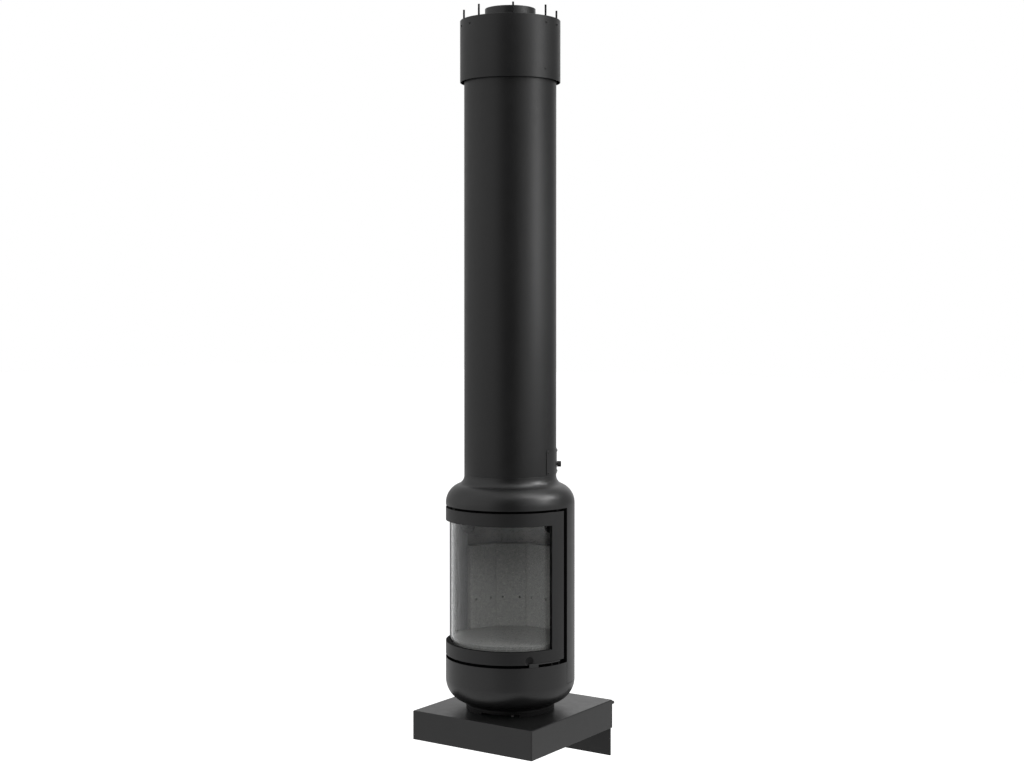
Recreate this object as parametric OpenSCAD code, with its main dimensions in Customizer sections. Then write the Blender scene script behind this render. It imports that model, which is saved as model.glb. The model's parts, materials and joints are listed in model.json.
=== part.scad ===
// Slim round wood stove, hung on a wall console, with its flue tube and ceiling collar.
// Millimetres. The origin is midway between the two upper wall studs, on the wall.
// X points right, Y points into the wall, Z points up.

/* [Wall console] */
// Width of the console box
console_w = 419; // [380:1:460]
// Depth of the console box, from its front to the wall
console_d = 442; // [420:1:500]
// Height of the console box
console_h = 84.5; // [75:0.5:110]
// Sheet thickness of the console box
console_skin = 3; // [2:0.5:3.5]
// Distance from the wall to the stove's axis
axis_to_wall = 240; // [225:1:270]
// Thickness of the wall plate
plate_t = 5; // [4:0.5:8]
// Gap between the wall plate and each side of the box
plate_side_gap = 1.5; // [1:0.5:4]
// How far the wall plate hangs below the console top
plate_drop = 169; // [140:1:200]
// Thickness of the carrier plate under the console top
carrier_t = 6; // [5:0.5:10]
// Width of the carrier plate
carrier_w = 320; // [316:1:350]
// Height of the bracket arms
arm_h = 55; // [40:1:65]
// Thickness of the bracket arms
arm_t = 5; // [4:0.5:8]
// Gap between the arms and the console's front wall
arm_front_gap = 30; // [15:1:60]

/* [Wall studs] */
// Radius of a wall stud's thick end, in the wall
stud_r = 5; // [4:0.5:6]
// How far the thick end stands out from the thread in front
stud_step = 1; // [0.5:0.1:1.5]
// Length of a stud in front of the wall plate's face
stud_front = 16; // [14:0.5:30]
// Length of a stud behind the wall face
stud_back = 38; // [25:1:60]
// Distance from the console top down to the upper studs
stud_drop = 17.5; // [12:0.5:19]
// Distance from the upper studs down to the lower ones
stud_rise = 54; // [45:1:60]
// Distance from each side of the console to the upper studs
stud_side = 19.5; // [17:0.5:40]
// Spacing of the two lower studs
stud_low_spacing = 240; // [150:1:250]
// Radial clearance of a stud in the wall plate
stud_clear = 0.5; // [0.3:0.1:0.9]
// Thickness of a washer
washer_t = 1.6; // [1:0.1:2.5]
// Height of a nut
nut_h = 6.5; // [5:0.5:8]

/* [Foot] */
// Outer radius of the foot
foot_r = 130.5; // [125:0.5:136]
// Height of the foot
foot_h = 12; // [11:0.5:18]
// Wall of the foot
foot_wall = 5; // [4:0.5:7]
// Thickness of the foot's web
web_t = 4; // [3:0.5:5.5]
// Radius of the circle that the foot bolts lie on
foot_bolt_circle = 108; // [104:0.5:112]
// Radius of a foot bolt
foot_bolt_r = 4; // [3:0.5:5]
// Radius of the bosses under the web
foot_boss_r = 9; // [8:0.5:11]

/* [Air slide] */
// Radius of the round air slide
slide_r = 90; // [84:0.5:93]
// Thickness of the air slide
slide_t = 3; // [2:0.5:4]
// Height of the air slide above the console top
slide_z = 3; // [2.5:0.5:4.5]
// Radius of an air port
port_r = 16; // [10:0.5:18]
// Radius of the circle that the air ports lie on
port_circle = 55; // [45:0.5:60]
// Width of the slide's lever
slide_lever_w = 8; // [6:0.5:12]
// How far the lever stands out of the foot
slide_lever_out = 6; // [3:0.5:12]
// Radius of the slide's pivot
slide_pivot_r = 5; // [4:0.5:8]
// Radius of the combustion air hole in the console
air_hole_r = 80; // [78:0.5:88]

/* [Body] */
// Outer radius of the body
body_r = 191; // [186:0.5:196]
// Sheet thickness of the body
skin = 3; // [2:0.5:4]
// Radius of the round under the body
bowl_r = 66; // [60:0.5:68]
// Radius of the hollow between the bowl and the foot
bowl_neck_r = 11; // [8:0.5:14]
// Height of the lower edge of the door opening above the console
opening_low = 153.5; // [150:0.5:170]
// Height of the upper edge of the door opening above the console
opening_top = 602; // [560:0.5:660]
// Height from the door opening up to the start of the shoulder
shoulder_rise = 6; // [4:0.5:20]
// Radius of the round shoulder
shoulder_r = 58; // [52:0.5:62]
// Radius of the hollow between the shoulder and the tube
neck_r = 27.5; // [20:0.5:35]
// Half angle of the door opening
opening_angle = 94; // [93.4:0.2:98]
// Width of the seam between the front skirt and the rear casing
seam_gap = 0.5; // [0.3:0.1:1]
// Plain height of the neck above its hollow
neck_rim = 4; // [3:0.5:8]

/* [Tube] */
// Outer radius of the tube
tube_r = 136.5; // [133:0.5:139.5]
// Sheet thickness of the tube
tube_wall = 2; // [1.5:0.5:3]
// Height of the tube
tube_h = 1229; // [900:1:1500]
// Outer radius of the flue spigot
spigot_r = 75; // [70:0.5:78]
// How far the flue pipe's outer face stands out from the spigot
pipe_out = 1.2; // [1:0.1:2]
// Wall of the flue pipe and the spigot
flue_wall = 2; // [1.5:0.5:3]
// How far the flue spigot plugs into the pipe
spigot_plug = 35; // [25:1:60]
// Height of one tube spacer
spacer_h = 12; // [8:0.5:20]
// Number of tube spacers
spacer_count = 3; // [2:1:4]

/* [Ceiling collar] */
// How far the collar's outer face stands out from the tube
collar_out = 12; // [8:0.5:17]
// Sheet thickness of the collar
collar_wall = 2; // [1.5:0.5:3]
// Height of the collar
collar_h = 181; // [150:1:260]
// How far the tube reaches into the collar
collar_overlap = 72; // [65:1:90]
// Distance from the collar's inner face to the circle of the ceiling studs
ceiling_stud_inset = 9.5; // [7:0.5:11]
// Radius of a ceiling stud
ceiling_stud_r = 3; // [2:0.5:3.5]
// How far the pressed-in foot of a ceiling stud stands out from the stud
ceiling_stud_step = 0.5; // [0.3:0.1:1]
// Length of a ceiling stud above the collar
ceiling_stud_out = 33.5; // [20:0.5:60]
// Height of the flue spigot above the collar
spigot_out = 36; // [25:1:60]
// Thickness of the ceiling ring
ceiling_ring_t = 4; // [3:0.5:6]
// Height of the ceiling ring's flange
ceiling_flange_h = 18; // [15:0.5:25]

/* [Door] */
// Radial thickness of the door frame
door_t = 10.6; // [9:0.2:12]
// Gap below the door
door_gap_low = 8.5; // [8:0.5:10]
// Gap above the door
door_gap_top = 7; // [5:0.5:9]
// Half angle of the door
door_angle = 88.6; // [88.2:0.2:89]
// Height of the door's bottom rail
rail_low_h = 38; // [34:0.5:46]
// Height of the door's top rail
rail_top_h = 38; // [34:0.5:46]
// Half angle of the window
window_angle = 73.4; // [72:0.1:75.5]
// Thickness of the door glass
glass_t = 4; // [3:0.5:4]
// Thickness of the glass tape
tape_t = 3.4; // [3:0.2:3.6]
// How far the glass reaches behind the top and bottom rails
glass_lap = 10; // [8:0.5:11]
// Half angle of the glass
glass_angle = 79; // [78:0.2:79.4]
// Width of the door seal
seal_w = 10; // [8:0.5:11]
// Half angle of the door seal's inner edge
seal_angle = 80.5; // [80:0.1:80.8]
// Radius of a hinge pin
hinge_pin_r = 2.5; // [2:0.5:2.5]
// Angle of the hinge pins from the front
hinge_angle = 86.7; // [86.5:0.1:86.9]

/* [Handle] */
// Height of the handle's blade
blade_h = 3.8; // [3:0.2:6]
// Angle at the tab's free end
tab_angle = 50.8; // [48:0.2:53]
// Angle between the tab and the blade
blade_angle = 59.4; // [58:0.2:62]
// Angle of the handle's pivot
handle_angle = 80; // [78:0.5:80.5]
// Angle at the blade's short end
blade_end_angle = 83; // [82.6:0.1:83.4]
// Radius of the handle's pin
handle_pin_r = 2.5; // [2:0.5:3]

/* [Firebox] */
// Thickness of a lining panel
lining_t = 22; // [18:0.5:26]
// Height of the lining panels
lining_h = 250; // [220:1:300]
// Height of the hearth above the console
hearth_z = 210; // [204:1:220]
// Thickness of the hearth slab
hearth_t = 18; // [14:0.5:25]
// Angle that one lining panel takes
lining_step = 33.3; // [33:0.1:33.5]
// Radius of an air hole in the lining
lining_hole_r = 3.75; // [2:0.25:6]
// Height of the air holes above the hearth
lining_hole_z = 87; // [60:1:130]
// Height of the floor plate above the console
floor_z = 96; // [92:1:110]
// Thickness of the floor plate and the top plate
deck_t = 4; // [3:0.5:6]
// Thickness of the steel liner
liner_t = 2; // [1.5:0.5:3]
// Thickness of the baffle
baffle_t = 18; // [14:0.5:20]

/* [Damper] */
// Angle of the damper's spindle from the front
damper_angle = 124; // [118:1:130]
// Height of the spindle above the tube's foot
damper_rise = 29; // [26:0.5:34]
// Radius of the spindle
spindle_r = 4; // [3:0.5:5]
// Radius of the knob
knob_r = 8.5; // [7:0.5:12]
// Length of the knob
knob_h = 12; // [10:0.5:20]
// Radius of the damper disc
damper_disc_r = 70; // [60:0.5:70.5]
// Half angle of the damper hatch
hatch_half_angle = 39.5; // [36:0.5:42]
// Height of the damper hatch
hatch_h = 73; // [68:0.5:90]
// Thickness of the damper hatch
hatch_t = 1.5; // [1:0.1:2]

/* [Hidden] */
$fn = 128;

// Overrun of every cut
over = 1;
// Gap between two pieces that are seated without touching
seat = 0.3;
// Radial clearance of a pin that turns in its bore
run_fit = 0.05;
// Radial clearance of a bolt in its hole
bolt_clear = 0.2;
// Segments in each rounded stretch of a sheet profile
round_steps = 14;
// Nut, head and washer sizes as shares of the bolt's radius
hex_share = 1.88;
head_share = 1.35;
washer_share = 2.05;
// Height of the stove's base, the console top, above the part's origin
top_z = stud_drop;

// Height between the centre of a round and that of the hollow that joins it to a neck
function neck_drop(round_r, hollow_r, neck_out_r) =
    sqrt(pow(round_r + hollow_r, 2) - pow(neck_out_r + hollow_r - (body_r - round_r), 2));
// Angle at which the round meets the hollow
function neck_angle(round_r, hollow_r, neck_out_r) =
    acos((neck_out_r + hollow_r - (body_r - round_r)) / (round_r + hollow_r));
// Points of an arc round a centre
function arc(centre, r, from, to) = [
    for (i = [0:round_steps]) let (a = from + (to - from) * i / round_steps)
        centre + r * [cos(a), sin(a)]
];

// Heights above the console top
bowl_lip = 1;
bowl_hollow_z = foot_h + bowl_lip;
bowl_z = bowl_hollow_z + neck_drop(bowl_r, bowl_neck_r, foot_r);
shoulder_z = opening_top + shoulder_rise;
neck_z = shoulder_z + neck_drop(shoulder_r, neck_r, tube_r);
tube_z = neck_z + neck_rim;
tube_top_z = tube_z + tube_h;
collar_z = tube_top_z - collar_overlap;
collar_top_z = collar_z + collar_h;
door_low_z = opening_low + door_gap_low;
door_top_z = opening_top - door_gap_top;
window_low_z = door_low_z + rail_low_h;
window_top_z = door_top_z - rail_top_h;
floor_top_z = floor_z + deck_t;
top_plate_drop = 2.5;
top_plate_z = opening_top - top_plate_drop;
web_z = slide_z + slide_t + seat;
web_top_z = web_z + web_t;
hearth_low_z = hearth_z - hearth_t;
damper_z = tube_z + damper_rise;

// Radii of the shells, from the outside inwards
body_in_r = body_r - skin;
foot_in_r = foot_r - foot_wall;
tube_in_r = tube_r - tube_wall;
collar_r = tube_r + collar_out;
collar_in_r = collar_r - collar_wall;
ceiling_stud_circle = collar_in_r - ceiling_stud_inset;
pipe_r = spigot_r + pipe_out;
pipe_in_r = pipe_r - flue_wall;
door_in_r = body_r - door_t;
glass_out_r = door_in_r - tape_t;
glass_in_r = glass_out_r - glass_t;
clip_t = 2.6;
clip_in_r = glass_in_r - clip_t;
landing_t = 3;
landing_gap = 0.8;
landing_out_r = clip_in_r - landing_gap;
landing_in_r = landing_out_r - landing_t;
liner_gap = 4;
liner_out_r = body_in_r - liner_gap;
liner_in_r = liner_out_r - liner_t;
lining_out = (liner_in_r - seat) * cos(lining_step / 2);
lining_in = lining_out - lining_t;

// Places its children at the stove's axis, on the console top
module at_stove() {
    translate([0, -axis_to_wall, top_z]) children();
}

// Places its children at a radius, an angle from the front and a height, with X outwards
module at_angle(r, angle, z) {
    rotate([0, 0, angle - 90]) translate([r, 0, z]) children();
}

// A piece of ring between two angles from the front
module sector(r_in, r_out, z_low, z_high, from, to) {
    rotate([0, 0, from - 90])
        rotate_extrude(angle = to - from)
            translate([r_in, z_low]) square([r_out - r_in, z_high - z_low]);
}

// A full ring
module ring(r_in, r_out, z_low, z_high) {
    difference() {
        translate([0, 0, z_low]) cylinder(r = r_out, h = z_high - z_low);
        translate([0, 0, z_low - over]) cylinder(r = r_in, h = z_high - z_low + 2 * over);
    }
}

// A round bar along X between two places
module rod_x(r, from, to) {
    translate([from, 0, 0]) rotate([0, 90, 0]) cylinder(r = r, h = to - from);
}

// Wall plate, studs and console

plate_w = console_w - 2 * console_skin - 2 * plate_side_gap;
thread_r = stud_r - stud_step;
plate_z = top_z - plate_drop;
stud_top_spacing = console_w - 2 * stud_side;

// Places its children at each wall stud on the wall, with Z pointing into the room
module at_wall_studs() {
    for (side = [-1, 1]) {
        translate([side * stud_top_spacing / 2, 0, 0]) rotate([90, 0, 0]) children();
        translate([side * stud_low_spacing / 2, 0, -stud_rise]) rotate([90, 0, 0]) children();
    }
}

module wall_plate() {
    color("dimgray") difference() {
        translate([-plate_w / 2, -plate_t, plate_z])
            cube([plate_w, plate_t, plate_drop - console_skin]);
        at_wall_studs() translate([0, 0, -over])
            cylinder(r = stud_r + stud_clear, h = plate_t + 2 * over);
    }
}

module wall_studs() {
    color("silver") at_wall_studs() {
        translate([0, 0, -stud_back]) cylinder(r = stud_r, h = stud_back);
        cylinder(r = thread_r, h = plate_t + stud_front);
    }
}

module wall_washers() {
    color("silver") at_wall_studs()
        ring(thread_r, thread_r * washer_share, plate_t, plate_t + washer_t);
}

module wall_nuts() {
    color("silver") at_wall_studs() translate([0, 0, plate_t + washer_t]) difference() {
        cylinder(r = thread_r * hex_share, h = nut_h, $fn = 6);
        translate([0, 0, -over]) cylinder(r = thread_r, h = nut_h + 2 * over);
    }
}

// The arms stand between the upper studs' nuts and the lower ones
arm_x = (stud_top_spacing + stud_low_spacing) / 4 - arm_t / 2;
carrier_top_z = top_z - console_skin;
carrier_z = carrier_top_z - carrier_t;
carrier_d = console_d - console_skin - arm_front_gap - plate_t;

module bracket_arms() {
    color("dimgray") for (side = [-1, 1])
        translate([side * arm_x - arm_t / 2, -plate_t - carrier_d, carrier_z - arm_h])
            cube([arm_t, carrier_d, arm_h]);
}

// Places its children at each foot bolt
foot_bolt_angles = [75, 165, 255, 345];
module at_foot_bolts() {
    at_stove() for (angle = foot_bolt_angles) at_angle(foot_bolt_circle, angle, 0) children();
}

// The holes for the air and the foot bolts through the console
module console_holes(z_low, z_high) {
    at_stove() translate([0, 0, z_low - over])
        cylinder(r = air_hole_r, h = z_high - z_low + 2 * over);
    at_foot_bolts() translate([0, 0, z_low - over])
        cylinder(r = foot_bolt_r + bolt_clear, h = z_high - z_low + 2 * over);
}

module carrier_plate() {
    color("dimgray") difference() {
        translate([-carrier_w / 2, -plate_t - carrier_d, carrier_z])
            cube([carrier_w, carrier_d, carrier_t]);
        console_holes(-console_skin - carrier_t, -console_skin);
    }
}

module console_box() {
    color([0.1, 0.1, 0.1]) difference() {
        translate([-console_w / 2, -console_d, top_z - console_h])
            cube([console_w, console_d, console_h]);
        translate([-console_w / 2 + console_skin, -console_d + console_skin,
                   top_z - console_h - over])
            cube([console_w - 2 * console_skin, console_d - console_skin + over,
                  console_h - console_skin + over]);
        console_holes(-console_skin, 0);
    }
}

// Foot and air slide

notch_from = -6;
notch_to = 46;
port_angles = [37, 127, 217, 307];
lever_angle = 37;
lever_root_share = 0.9;

module foot_ring() {
    color([0.12, 0.12, 0.12]) at_stove() difference() {
        union() {
            ring(foot_in_r, foot_r, 0, foot_h);
            translate([0, 0, web_z]) cylinder(r = foot_in_r + over, h = web_t);
            for (angle = foot_bolt_angles) at_angle(foot_bolt_circle, angle, 0)
                cylinder(r = foot_boss_r, h = web_z + over);
        }
        sector(foot_in_r - over, foot_r + over, -over, web_z, notch_from, notch_to);
        for (angle = port_angles) at_angle(port_circle, angle, web_z - over)
            cylinder(r = port_r, h = web_t + 2 * over);
        for (angle = foot_bolt_angles) at_angle(foot_bolt_circle, angle, -over)
            cylinder(r = foot_bolt_r + bolt_clear, h = web_top_z + 2 * over);
        translate([0, 0, web_z - over]) cylinder(r = slide_pivot_r, h = web_t + 2 * over);
    }
}

bolt_head_h = foot_bolt_r * head_share;
bolt_end = 2;

module foot_bolts() {
    color("silver") at_foot_bolts() {
        translate([0, 0, web_top_z])
            cylinder(r = foot_bolt_r * hex_share, h = bolt_head_h, $fn = 6);
        translate([0, 0, -console_skin - carrier_t - nut_h - bolt_end])
            cylinder(r = foot_bolt_r, h = web_top_z + console_skin + carrier_t + nut_h + bolt_end);
    }
}

module foot_nuts() {
    color("silver") at_foot_bolts() translate([0, 0, -console_skin - carrier_t - nut_h])
        difference() {
            cylinder(r = foot_bolt_r * hex_share, h = nut_h, $fn = 6);
            translate([0, 0, -over]) cylinder(r = foot_bolt_r, h = nut_h + 2 * over);
        }
}

module air_slide() {
    color("gray") at_stove() difference() {
        union() {
            translate([0, 0, slide_z]) cylinder(r = slide_r, h = slide_t);
            at_angle(slide_r * lever_root_share, lever_angle, slide_z)
                translate([0, -slide_lever_w / 2, 0])
                    cube([foot_r + slide_lever_out - slide_r * lever_root_share,
                          slide_lever_w, slide_t]);
        }
        for (angle = port_angles) at_angle(port_circle, angle, slide_z - over)
            cylinder(r = port_r, h = slide_t + 2 * over);
        translate([0, 0, slide_z - over])
            cylinder(r = slide_pivot_r + run_fit, h = slide_t + 2 * over);
    }
}

pivot_head_share = 1.8;
pivot_head_h = slide_z - 2 * seat;

module air_pivot() {
    color("silver") at_stove() {
        translate([0, 0, seat])
            cylinder(r = slide_pivot_r * pivot_head_share, h = pivot_head_h);
        translate([0, 0, seat]) cylinder(r = slide_pivot_r, h = web_top_z - seat);
    }
}

duct_r = port_circle + port_r + flue_wall + seat;

module air_duct() {
    color("gray") at_stove() ring(duct_r, duct_r + flue_wall, web_top_z, floor_z);
}

// Body shells

// Outline of the lower round and its hollow, at a depth under the outer face
function bowl_points(depth) = let (meet = neck_angle(bowl_r, bowl_neck_r, foot_r)) concat(
    arc([body_r - bowl_r, bowl_z], bowl_r - depth, 0, -meet),
    arc([foot_r + bowl_neck_r, bowl_hollow_z], bowl_neck_r + depth, 180 - meet, 180)
);

// Outline of the shoulder and the hollow above it, at a depth under the outer face
function dome_points(depth) = let (meet = neck_angle(shoulder_r, neck_r, tube_r)) concat(
    arc([body_r - shoulder_r, shoulder_z], shoulder_r - depth, 0, meet),
    arc([tube_r + neck_r, neck_z], neck_r + depth, 180 + meet, 180)
);

function flip(points) = [for (i = [len(points) - 1:-1:0]) points[i]];

// Gap between the bowl's flange and the heads of the foot bolts
flange_gap = 1;
flange_r = foot_bolt_circle + foot_bolt_r * hex_share + flange_gap;
// Angle that the seam takes on the body
seam_angle = seam_gap / body_r * 180 / PI;

module bottom_bowl() {
    color([0.1, 0.1, 0.1]) at_stove() difference() {
        rotate_extrude() polygon(concat(
            [[body_in_r, opening_low], [body_r, opening_low]],
            bowl_points(0),
            [[foot_r, foot_h], [flange_r, foot_h],
             [flange_r, foot_h + skin], [foot_r - skin, foot_h + skin]],
            flip(bowl_points(skin))
        ));
        sector(body_in_r - over, body_r + over, bowl_z, opening_low + over,
               opening_angle - seam_angle, 360 - opening_angle + seam_angle);
    }
}

module body_casing() {
    color([0.1, 0.1, 0.1]) at_stove() difference() {
        rotate_extrude() polygon(concat(
            [[body_in_r, bowl_z + seam_gap], [body_r, bowl_z + seam_gap]],
            dome_points(0),
            [[tube_r, tube_z], [tube_r - skin, tube_z]],
            flip(dome_points(skin))
        ));
        sector(body_in_r - over, body_r + over, bowl_z - over, opening_top, -opening_angle,
               opening_angle);
    }
}

floor_hole_r = 10;
floor_hole_circle = 60;
floor_hole_count = 6;

module floor_plate() {
    color("dimgray") at_stove() difference() {
        translate([0, 0, floor_z]) cylinder(r = body_in_r - seat, h = deck_t);
        for (i = [1:floor_hole_count])
            at_angle(floor_hole_circle, i * 360 / floor_hole_count, floor_z - over)
                cylinder(r = floor_hole_r, h = deck_t + 2 * over);
    }
}

// Firebox

landing_window_angle = 79;
landing_rim = 4;
jamb_angle = 1;

module door_jamb_frame() {
    color("dimgray") at_stove() difference() {
        sector(landing_in_r, body_in_r - seat, floor_top_z, top_plate_z,
               -opening_angle - jamb_angle, opening_angle + jamb_angle);
        sector(landing_out_r, body_r, floor_top_z - over, top_plate_z + over, -opening_angle,
               opening_angle);
        sector(landing_in_r - over, landing_out_r + over, window_low_z - landing_rim,
               window_top_z + landing_rim, -landing_window_angle, landing_window_angle);
    }
}

module firebox_liner() {
    color("gray") at_stove()
        sector(liner_in_r, liner_out_r, floor_top_z, top_plate_z,
               opening_angle + 2 * jamb_angle, 360 - opening_angle - 2 * jamb_angle);
}

// A round plate that fills the casing at the back and stops short of the door in front
module deck(r_back, r_front, z_low, h) {
    translate([0, 0, z_low]) cylinder(r = r_front, h = h);
    sector(0, r_back, z_low, z_low + h, opening_angle + jamb_angle,
           360 - opening_angle - jamb_angle);
}

outlet_r = pipe_r + seat;

module firebox_top() {
    color("dimgray") at_stove() difference() {
        deck(body_in_r - seat, landing_out_r, top_plate_z, deck_t);
        translate([0, 0, top_plate_z - over]) cylinder(r = outlet_r, h = deck_t + 2 * over);
    }
}

stand_gap = 25.6;
stand_r = landing_in_r - stand_gap;
stand_wall = 3;
stand_hole_r = 14;
stand_hole_count = 8;

module hearth_stand() {
    color("dimgray") at_stove() difference() {
        ring(stand_r - stand_wall, stand_r, floor_top_z, hearth_low_z);
        for (i = [1:stand_hole_count])
            at_angle(0, (i - 0.5) * 360 / stand_hole_count, (floor_top_z + hearth_low_z) / 2)
                rod_x(stand_hole_r, stand_r - stand_wall - over, stand_r + over);
    }
}

module hearth_slab() {
    color("tan") at_stove()
        deck(liner_in_r - seat, landing_in_r - seat, hearth_low_z, hearth_t);
}

lining_hole_angle = 9.75;
// Half of the bevel along each side edge of a panel
lining_bevel = 1.2;

module lining_panel(index) {
    side_gap = seat / 2;
    color("tan") at_stove()
        rotate([0, 0, (index - 3) * lining_step + 90]) difference() {
            translate([0, 0, hearth_z]) linear_extrude(height = lining_h) polygon([
                [lining_in, -lining_in * tan(lining_step / 2) + side_gap + lining_bevel],
                [lining_in + lining_bevel,
                 -(lining_in + lining_bevel) * tan(lining_step / 2) + side_gap],
                [lining_out, -lining_out * tan(lining_step / 2) + side_gap],
                [lining_out, lining_out * tan(lining_step / 2) - side_gap],
                [lining_in + lining_bevel,
                 (lining_in + lining_bevel) * tan(lining_step / 2) - side_gap],
                [lining_in, lining_in * tan(lining_step / 2) - side_gap - lining_bevel]
            ]);
            for (side = [-1, 1])
                translate([0, side * lining_in * tan(lining_hole_angle), hearth_z + lining_hole_z])
                    rod_x(lining_hole_r, lining_in - over, lining_out + over);
        }
}

module lining_panel_1() lining_panel(1);
module lining_panel_2() lining_panel(2);
module lining_panel_3() lining_panel(3);
module lining_panel_4() lining_panel(4);
module lining_panel_5() lining_panel(5);

baffle_rail_w = 14;
baffle_rail_t = 3;
baffle_rail_angle = 10;
baffle_front_share = 0.35;
baffle_throat = 18;
baffle_z = top_plate_z - baffle_throat - baffle_t;

module baffle_rail() {
    color("gray") at_stove()
        sector(liner_in_r - baffle_rail_w, liner_in_r, baffle_z - baffle_rail_t, baffle_z,
               opening_angle + baffle_rail_angle, 360 - opening_angle - baffle_rail_angle);
}

module baffle_plate() {
    color("tan") at_stove() intersection() {
        deck(liner_in_r - 2 * seat, landing_in_r - seat, baffle_z, baffle_t);
        translate([-liner_in_r, -liner_in_r * baffle_front_share, baffle_z - over])
            cube([2 * liner_in_r, 2 * liner_in_r, baffle_t + 2 * over]);
    }
}

// Flue

collar_ring_w = 20;
flue_collar_h = 30;
flue_collar_wall = 3;

module flue_collar() {
    color("dimgray") at_stove() {
        ring(outlet_r, outlet_r + flue_collar_wall, top_plate_z + deck_t,
             top_plate_z + deck_t + flue_collar_h);
        ring(outlet_r, outlet_r + collar_ring_w, top_plate_z + deck_t,
             top_plate_z + deck_t + flue_collar_wall);
    }
}

spigot_z = collar_top_z - flue_wall;
flue_top_z = collar_top_z + spigot_out;

module flue_pipe() {
    color([0.15, 0.15, 0.15]) at_stove() difference() {
        ring(pipe_in_r, pipe_r, top_plate_z, spigot_z);
        at_angle(0, damper_angle, damper_z)
            rod_x(spindle_r + run_fit, -pipe_r - over, pipe_r + over);
    }
}

module flue_spigot() {
    color([0.15, 0.15, 0.15]) at_stove() rotate_extrude() polygon([
        [pipe_in_r - flue_wall, spigot_z - spigot_plug],
        [pipe_in_r - run_fit, spigot_z - spigot_plug],
        [pipe_in_r - run_fit, spigot_z],
        [pipe_r, spigot_z],
        [pipe_r, collar_top_z],
        [spigot_r, collar_top_z],
        [spigot_r, flue_top_z],
        [spigot_r - flue_wall, flue_top_z],
        [spigot_r - flue_wall, collar_top_z],
        [pipe_in_r - flue_wall, spigot_z]
    ]);
}

// Tube round the flue

sleeve_h = 34;
sleeve_wall = 3;

module tube_sleeve() {
    color("gray") at_stove()
        ring(tube_r - skin - seat - sleeve_wall, tube_r - skin - seat, tube_z - sleeve_h / 2,
             tube_z + sleeve_h / 2);
}

hatch_foot_gap = 2.5;
hatch_z = tube_z + hatch_foot_gap;
hatch_margin = 11;
hatch_frame_angle = 9;
hatch_screw_r = 1.8;
hatch_screw_head_r = 3.5;
hatch_screw_head_h = 1.8;
hatch_screw_depth = 3;
hatch_screw_inset = 6.5;
hatch_screw_angle = 4;
hatch_out_r = tube_r + seat + hatch_t;
spindle_hole_clear = 0.6;

// Places its children at each screw of the damper hatch, with X pointing outwards
module at_hatch_screws() {
    at_stove()
        for (z = [hatch_z + hatch_screw_inset, hatch_z + hatch_h - hatch_screw_inset],
             angle = [-hatch_half_angle + hatch_screw_angle, 0,
                      hatch_half_angle - hatch_screw_angle])
            at_angle(0, damper_angle + angle, z) children();
}

module tube_cover() {
    color([0.1, 0.1, 0.1]) difference() {
        at_stove() ring(tube_in_r, tube_r, tube_z, tube_top_z);
        at_stove() sector(tube_in_r - over, tube_r + over, hatch_z + hatch_margin,
                          hatch_z + hatch_h - hatch_margin,
                          damper_angle - hatch_half_angle + hatch_frame_angle,
                          damper_angle + hatch_half_angle - hatch_frame_angle);
        at_hatch_screws() rod_x(hatch_screw_r, tube_in_r - over, tube_r + over);
        at_collar_clamp() rod_x(clamp_screw_r, tube_in_r - over, tube_r + over);
    }
}

spacer_ring_t = 3;
spacer_arm_w = 10;

module tube_spacers() {
    color("gray") at_stove() for (i = [1:spacer_count])
        translate([0, 0, tube_z + tube_h * i / (spacer_count + 0.5)]) {
            ring(pipe_r, pipe_r + spacer_ring_t, 0, spacer_h);
            for (angle = [0, 120, 240]) at_angle(pipe_r + spacer_ring_t / 2, angle, 0)
                translate([0, -spacer_arm_w / 2, 0])
                    cube([tube_in_r - seat - pipe_r - spacer_ring_t / 2, spacer_arm_w, spacer_h]);
        }
}

module damper_hatch() {
    color([0.1, 0.1, 0.1]) difference() {
        at_stove() sector(tube_r + seat, hatch_out_r, hatch_z, hatch_z + hatch_h,
                          damper_angle - hatch_half_angle, damper_angle + hatch_half_angle);
        at_hatch_screws() rod_x(hatch_screw_r, tube_r - over, hatch_out_r + over);
        at_stove() at_angle(0, damper_angle, damper_z)
            rod_x(spindle_r + spindle_hole_clear, tube_r - over, hatch_out_r + over);
    }
}

module hatch_screws() {
    color([0.1, 0.1, 0.1]) at_hatch_screws() {
        rod_x(hatch_screw_head_r, hatch_out_r, hatch_out_r + hatch_screw_head_h);
        rod_x(hatch_screw_r, tube_r - hatch_screw_depth, hatch_out_r);
    }
}

// Damper

disc_t = 2;
disc_offset = spindle_r;
disc_screw_r = 2;
disc_screw_x = 40;
knob_gap = 0.5;
knob_start = hatch_out_r + knob_gap;
knob_round = 1.5;
spindle_end = 3;

// Places its children on the damper's spindle, with X along it, outwards
module at_damper() {
    at_stove() at_angle(0, damper_angle, damper_z) children();
}

module damper_spindle() {
    color("silver") at_damper() difference() {
        rod_x(spindle_r, -pipe_r - spindle_end, knob_start + knob_h - spindle_end);
        for (side = [-1, 1]) translate([side * disc_screw_x, 0, 0]) rotate([90, 0, 0])
            cylinder(r = disc_screw_r, h = 4 * spindle_r, center = true);
    }
}

module damper_disc() {
    color("gray") at_damper() difference() {
        translate([0, -disc_offset, 0]) rotate([90, 0, 0])
            cylinder(r = damper_disc_r, h = disc_t);
        for (side = [-1, 1]) translate([side * disc_screw_x, 0, 0]) rotate([90, 0, 0])
            cylinder(r = disc_screw_r, h = 4 * spindle_r, center = true);
    }
}

disc_screw_head_r = 3.6;
disc_screw_head_h = 1.8;

module damper_screws() {
    color("silver") at_damper() for (side = [-1, 1])
        translate([side * disc_screw_x, -disc_offset - disc_t, 0]) rotate([90, 0, 0]) {
            cylinder(r = disc_screw_head_r, h = disc_screw_head_h);
            translate([0, 0, -disc_t - disc_offset - spindle_r])
                cylinder(r = disc_screw_r, h = disc_t + disc_offset + spindle_r);
        }
}

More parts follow.
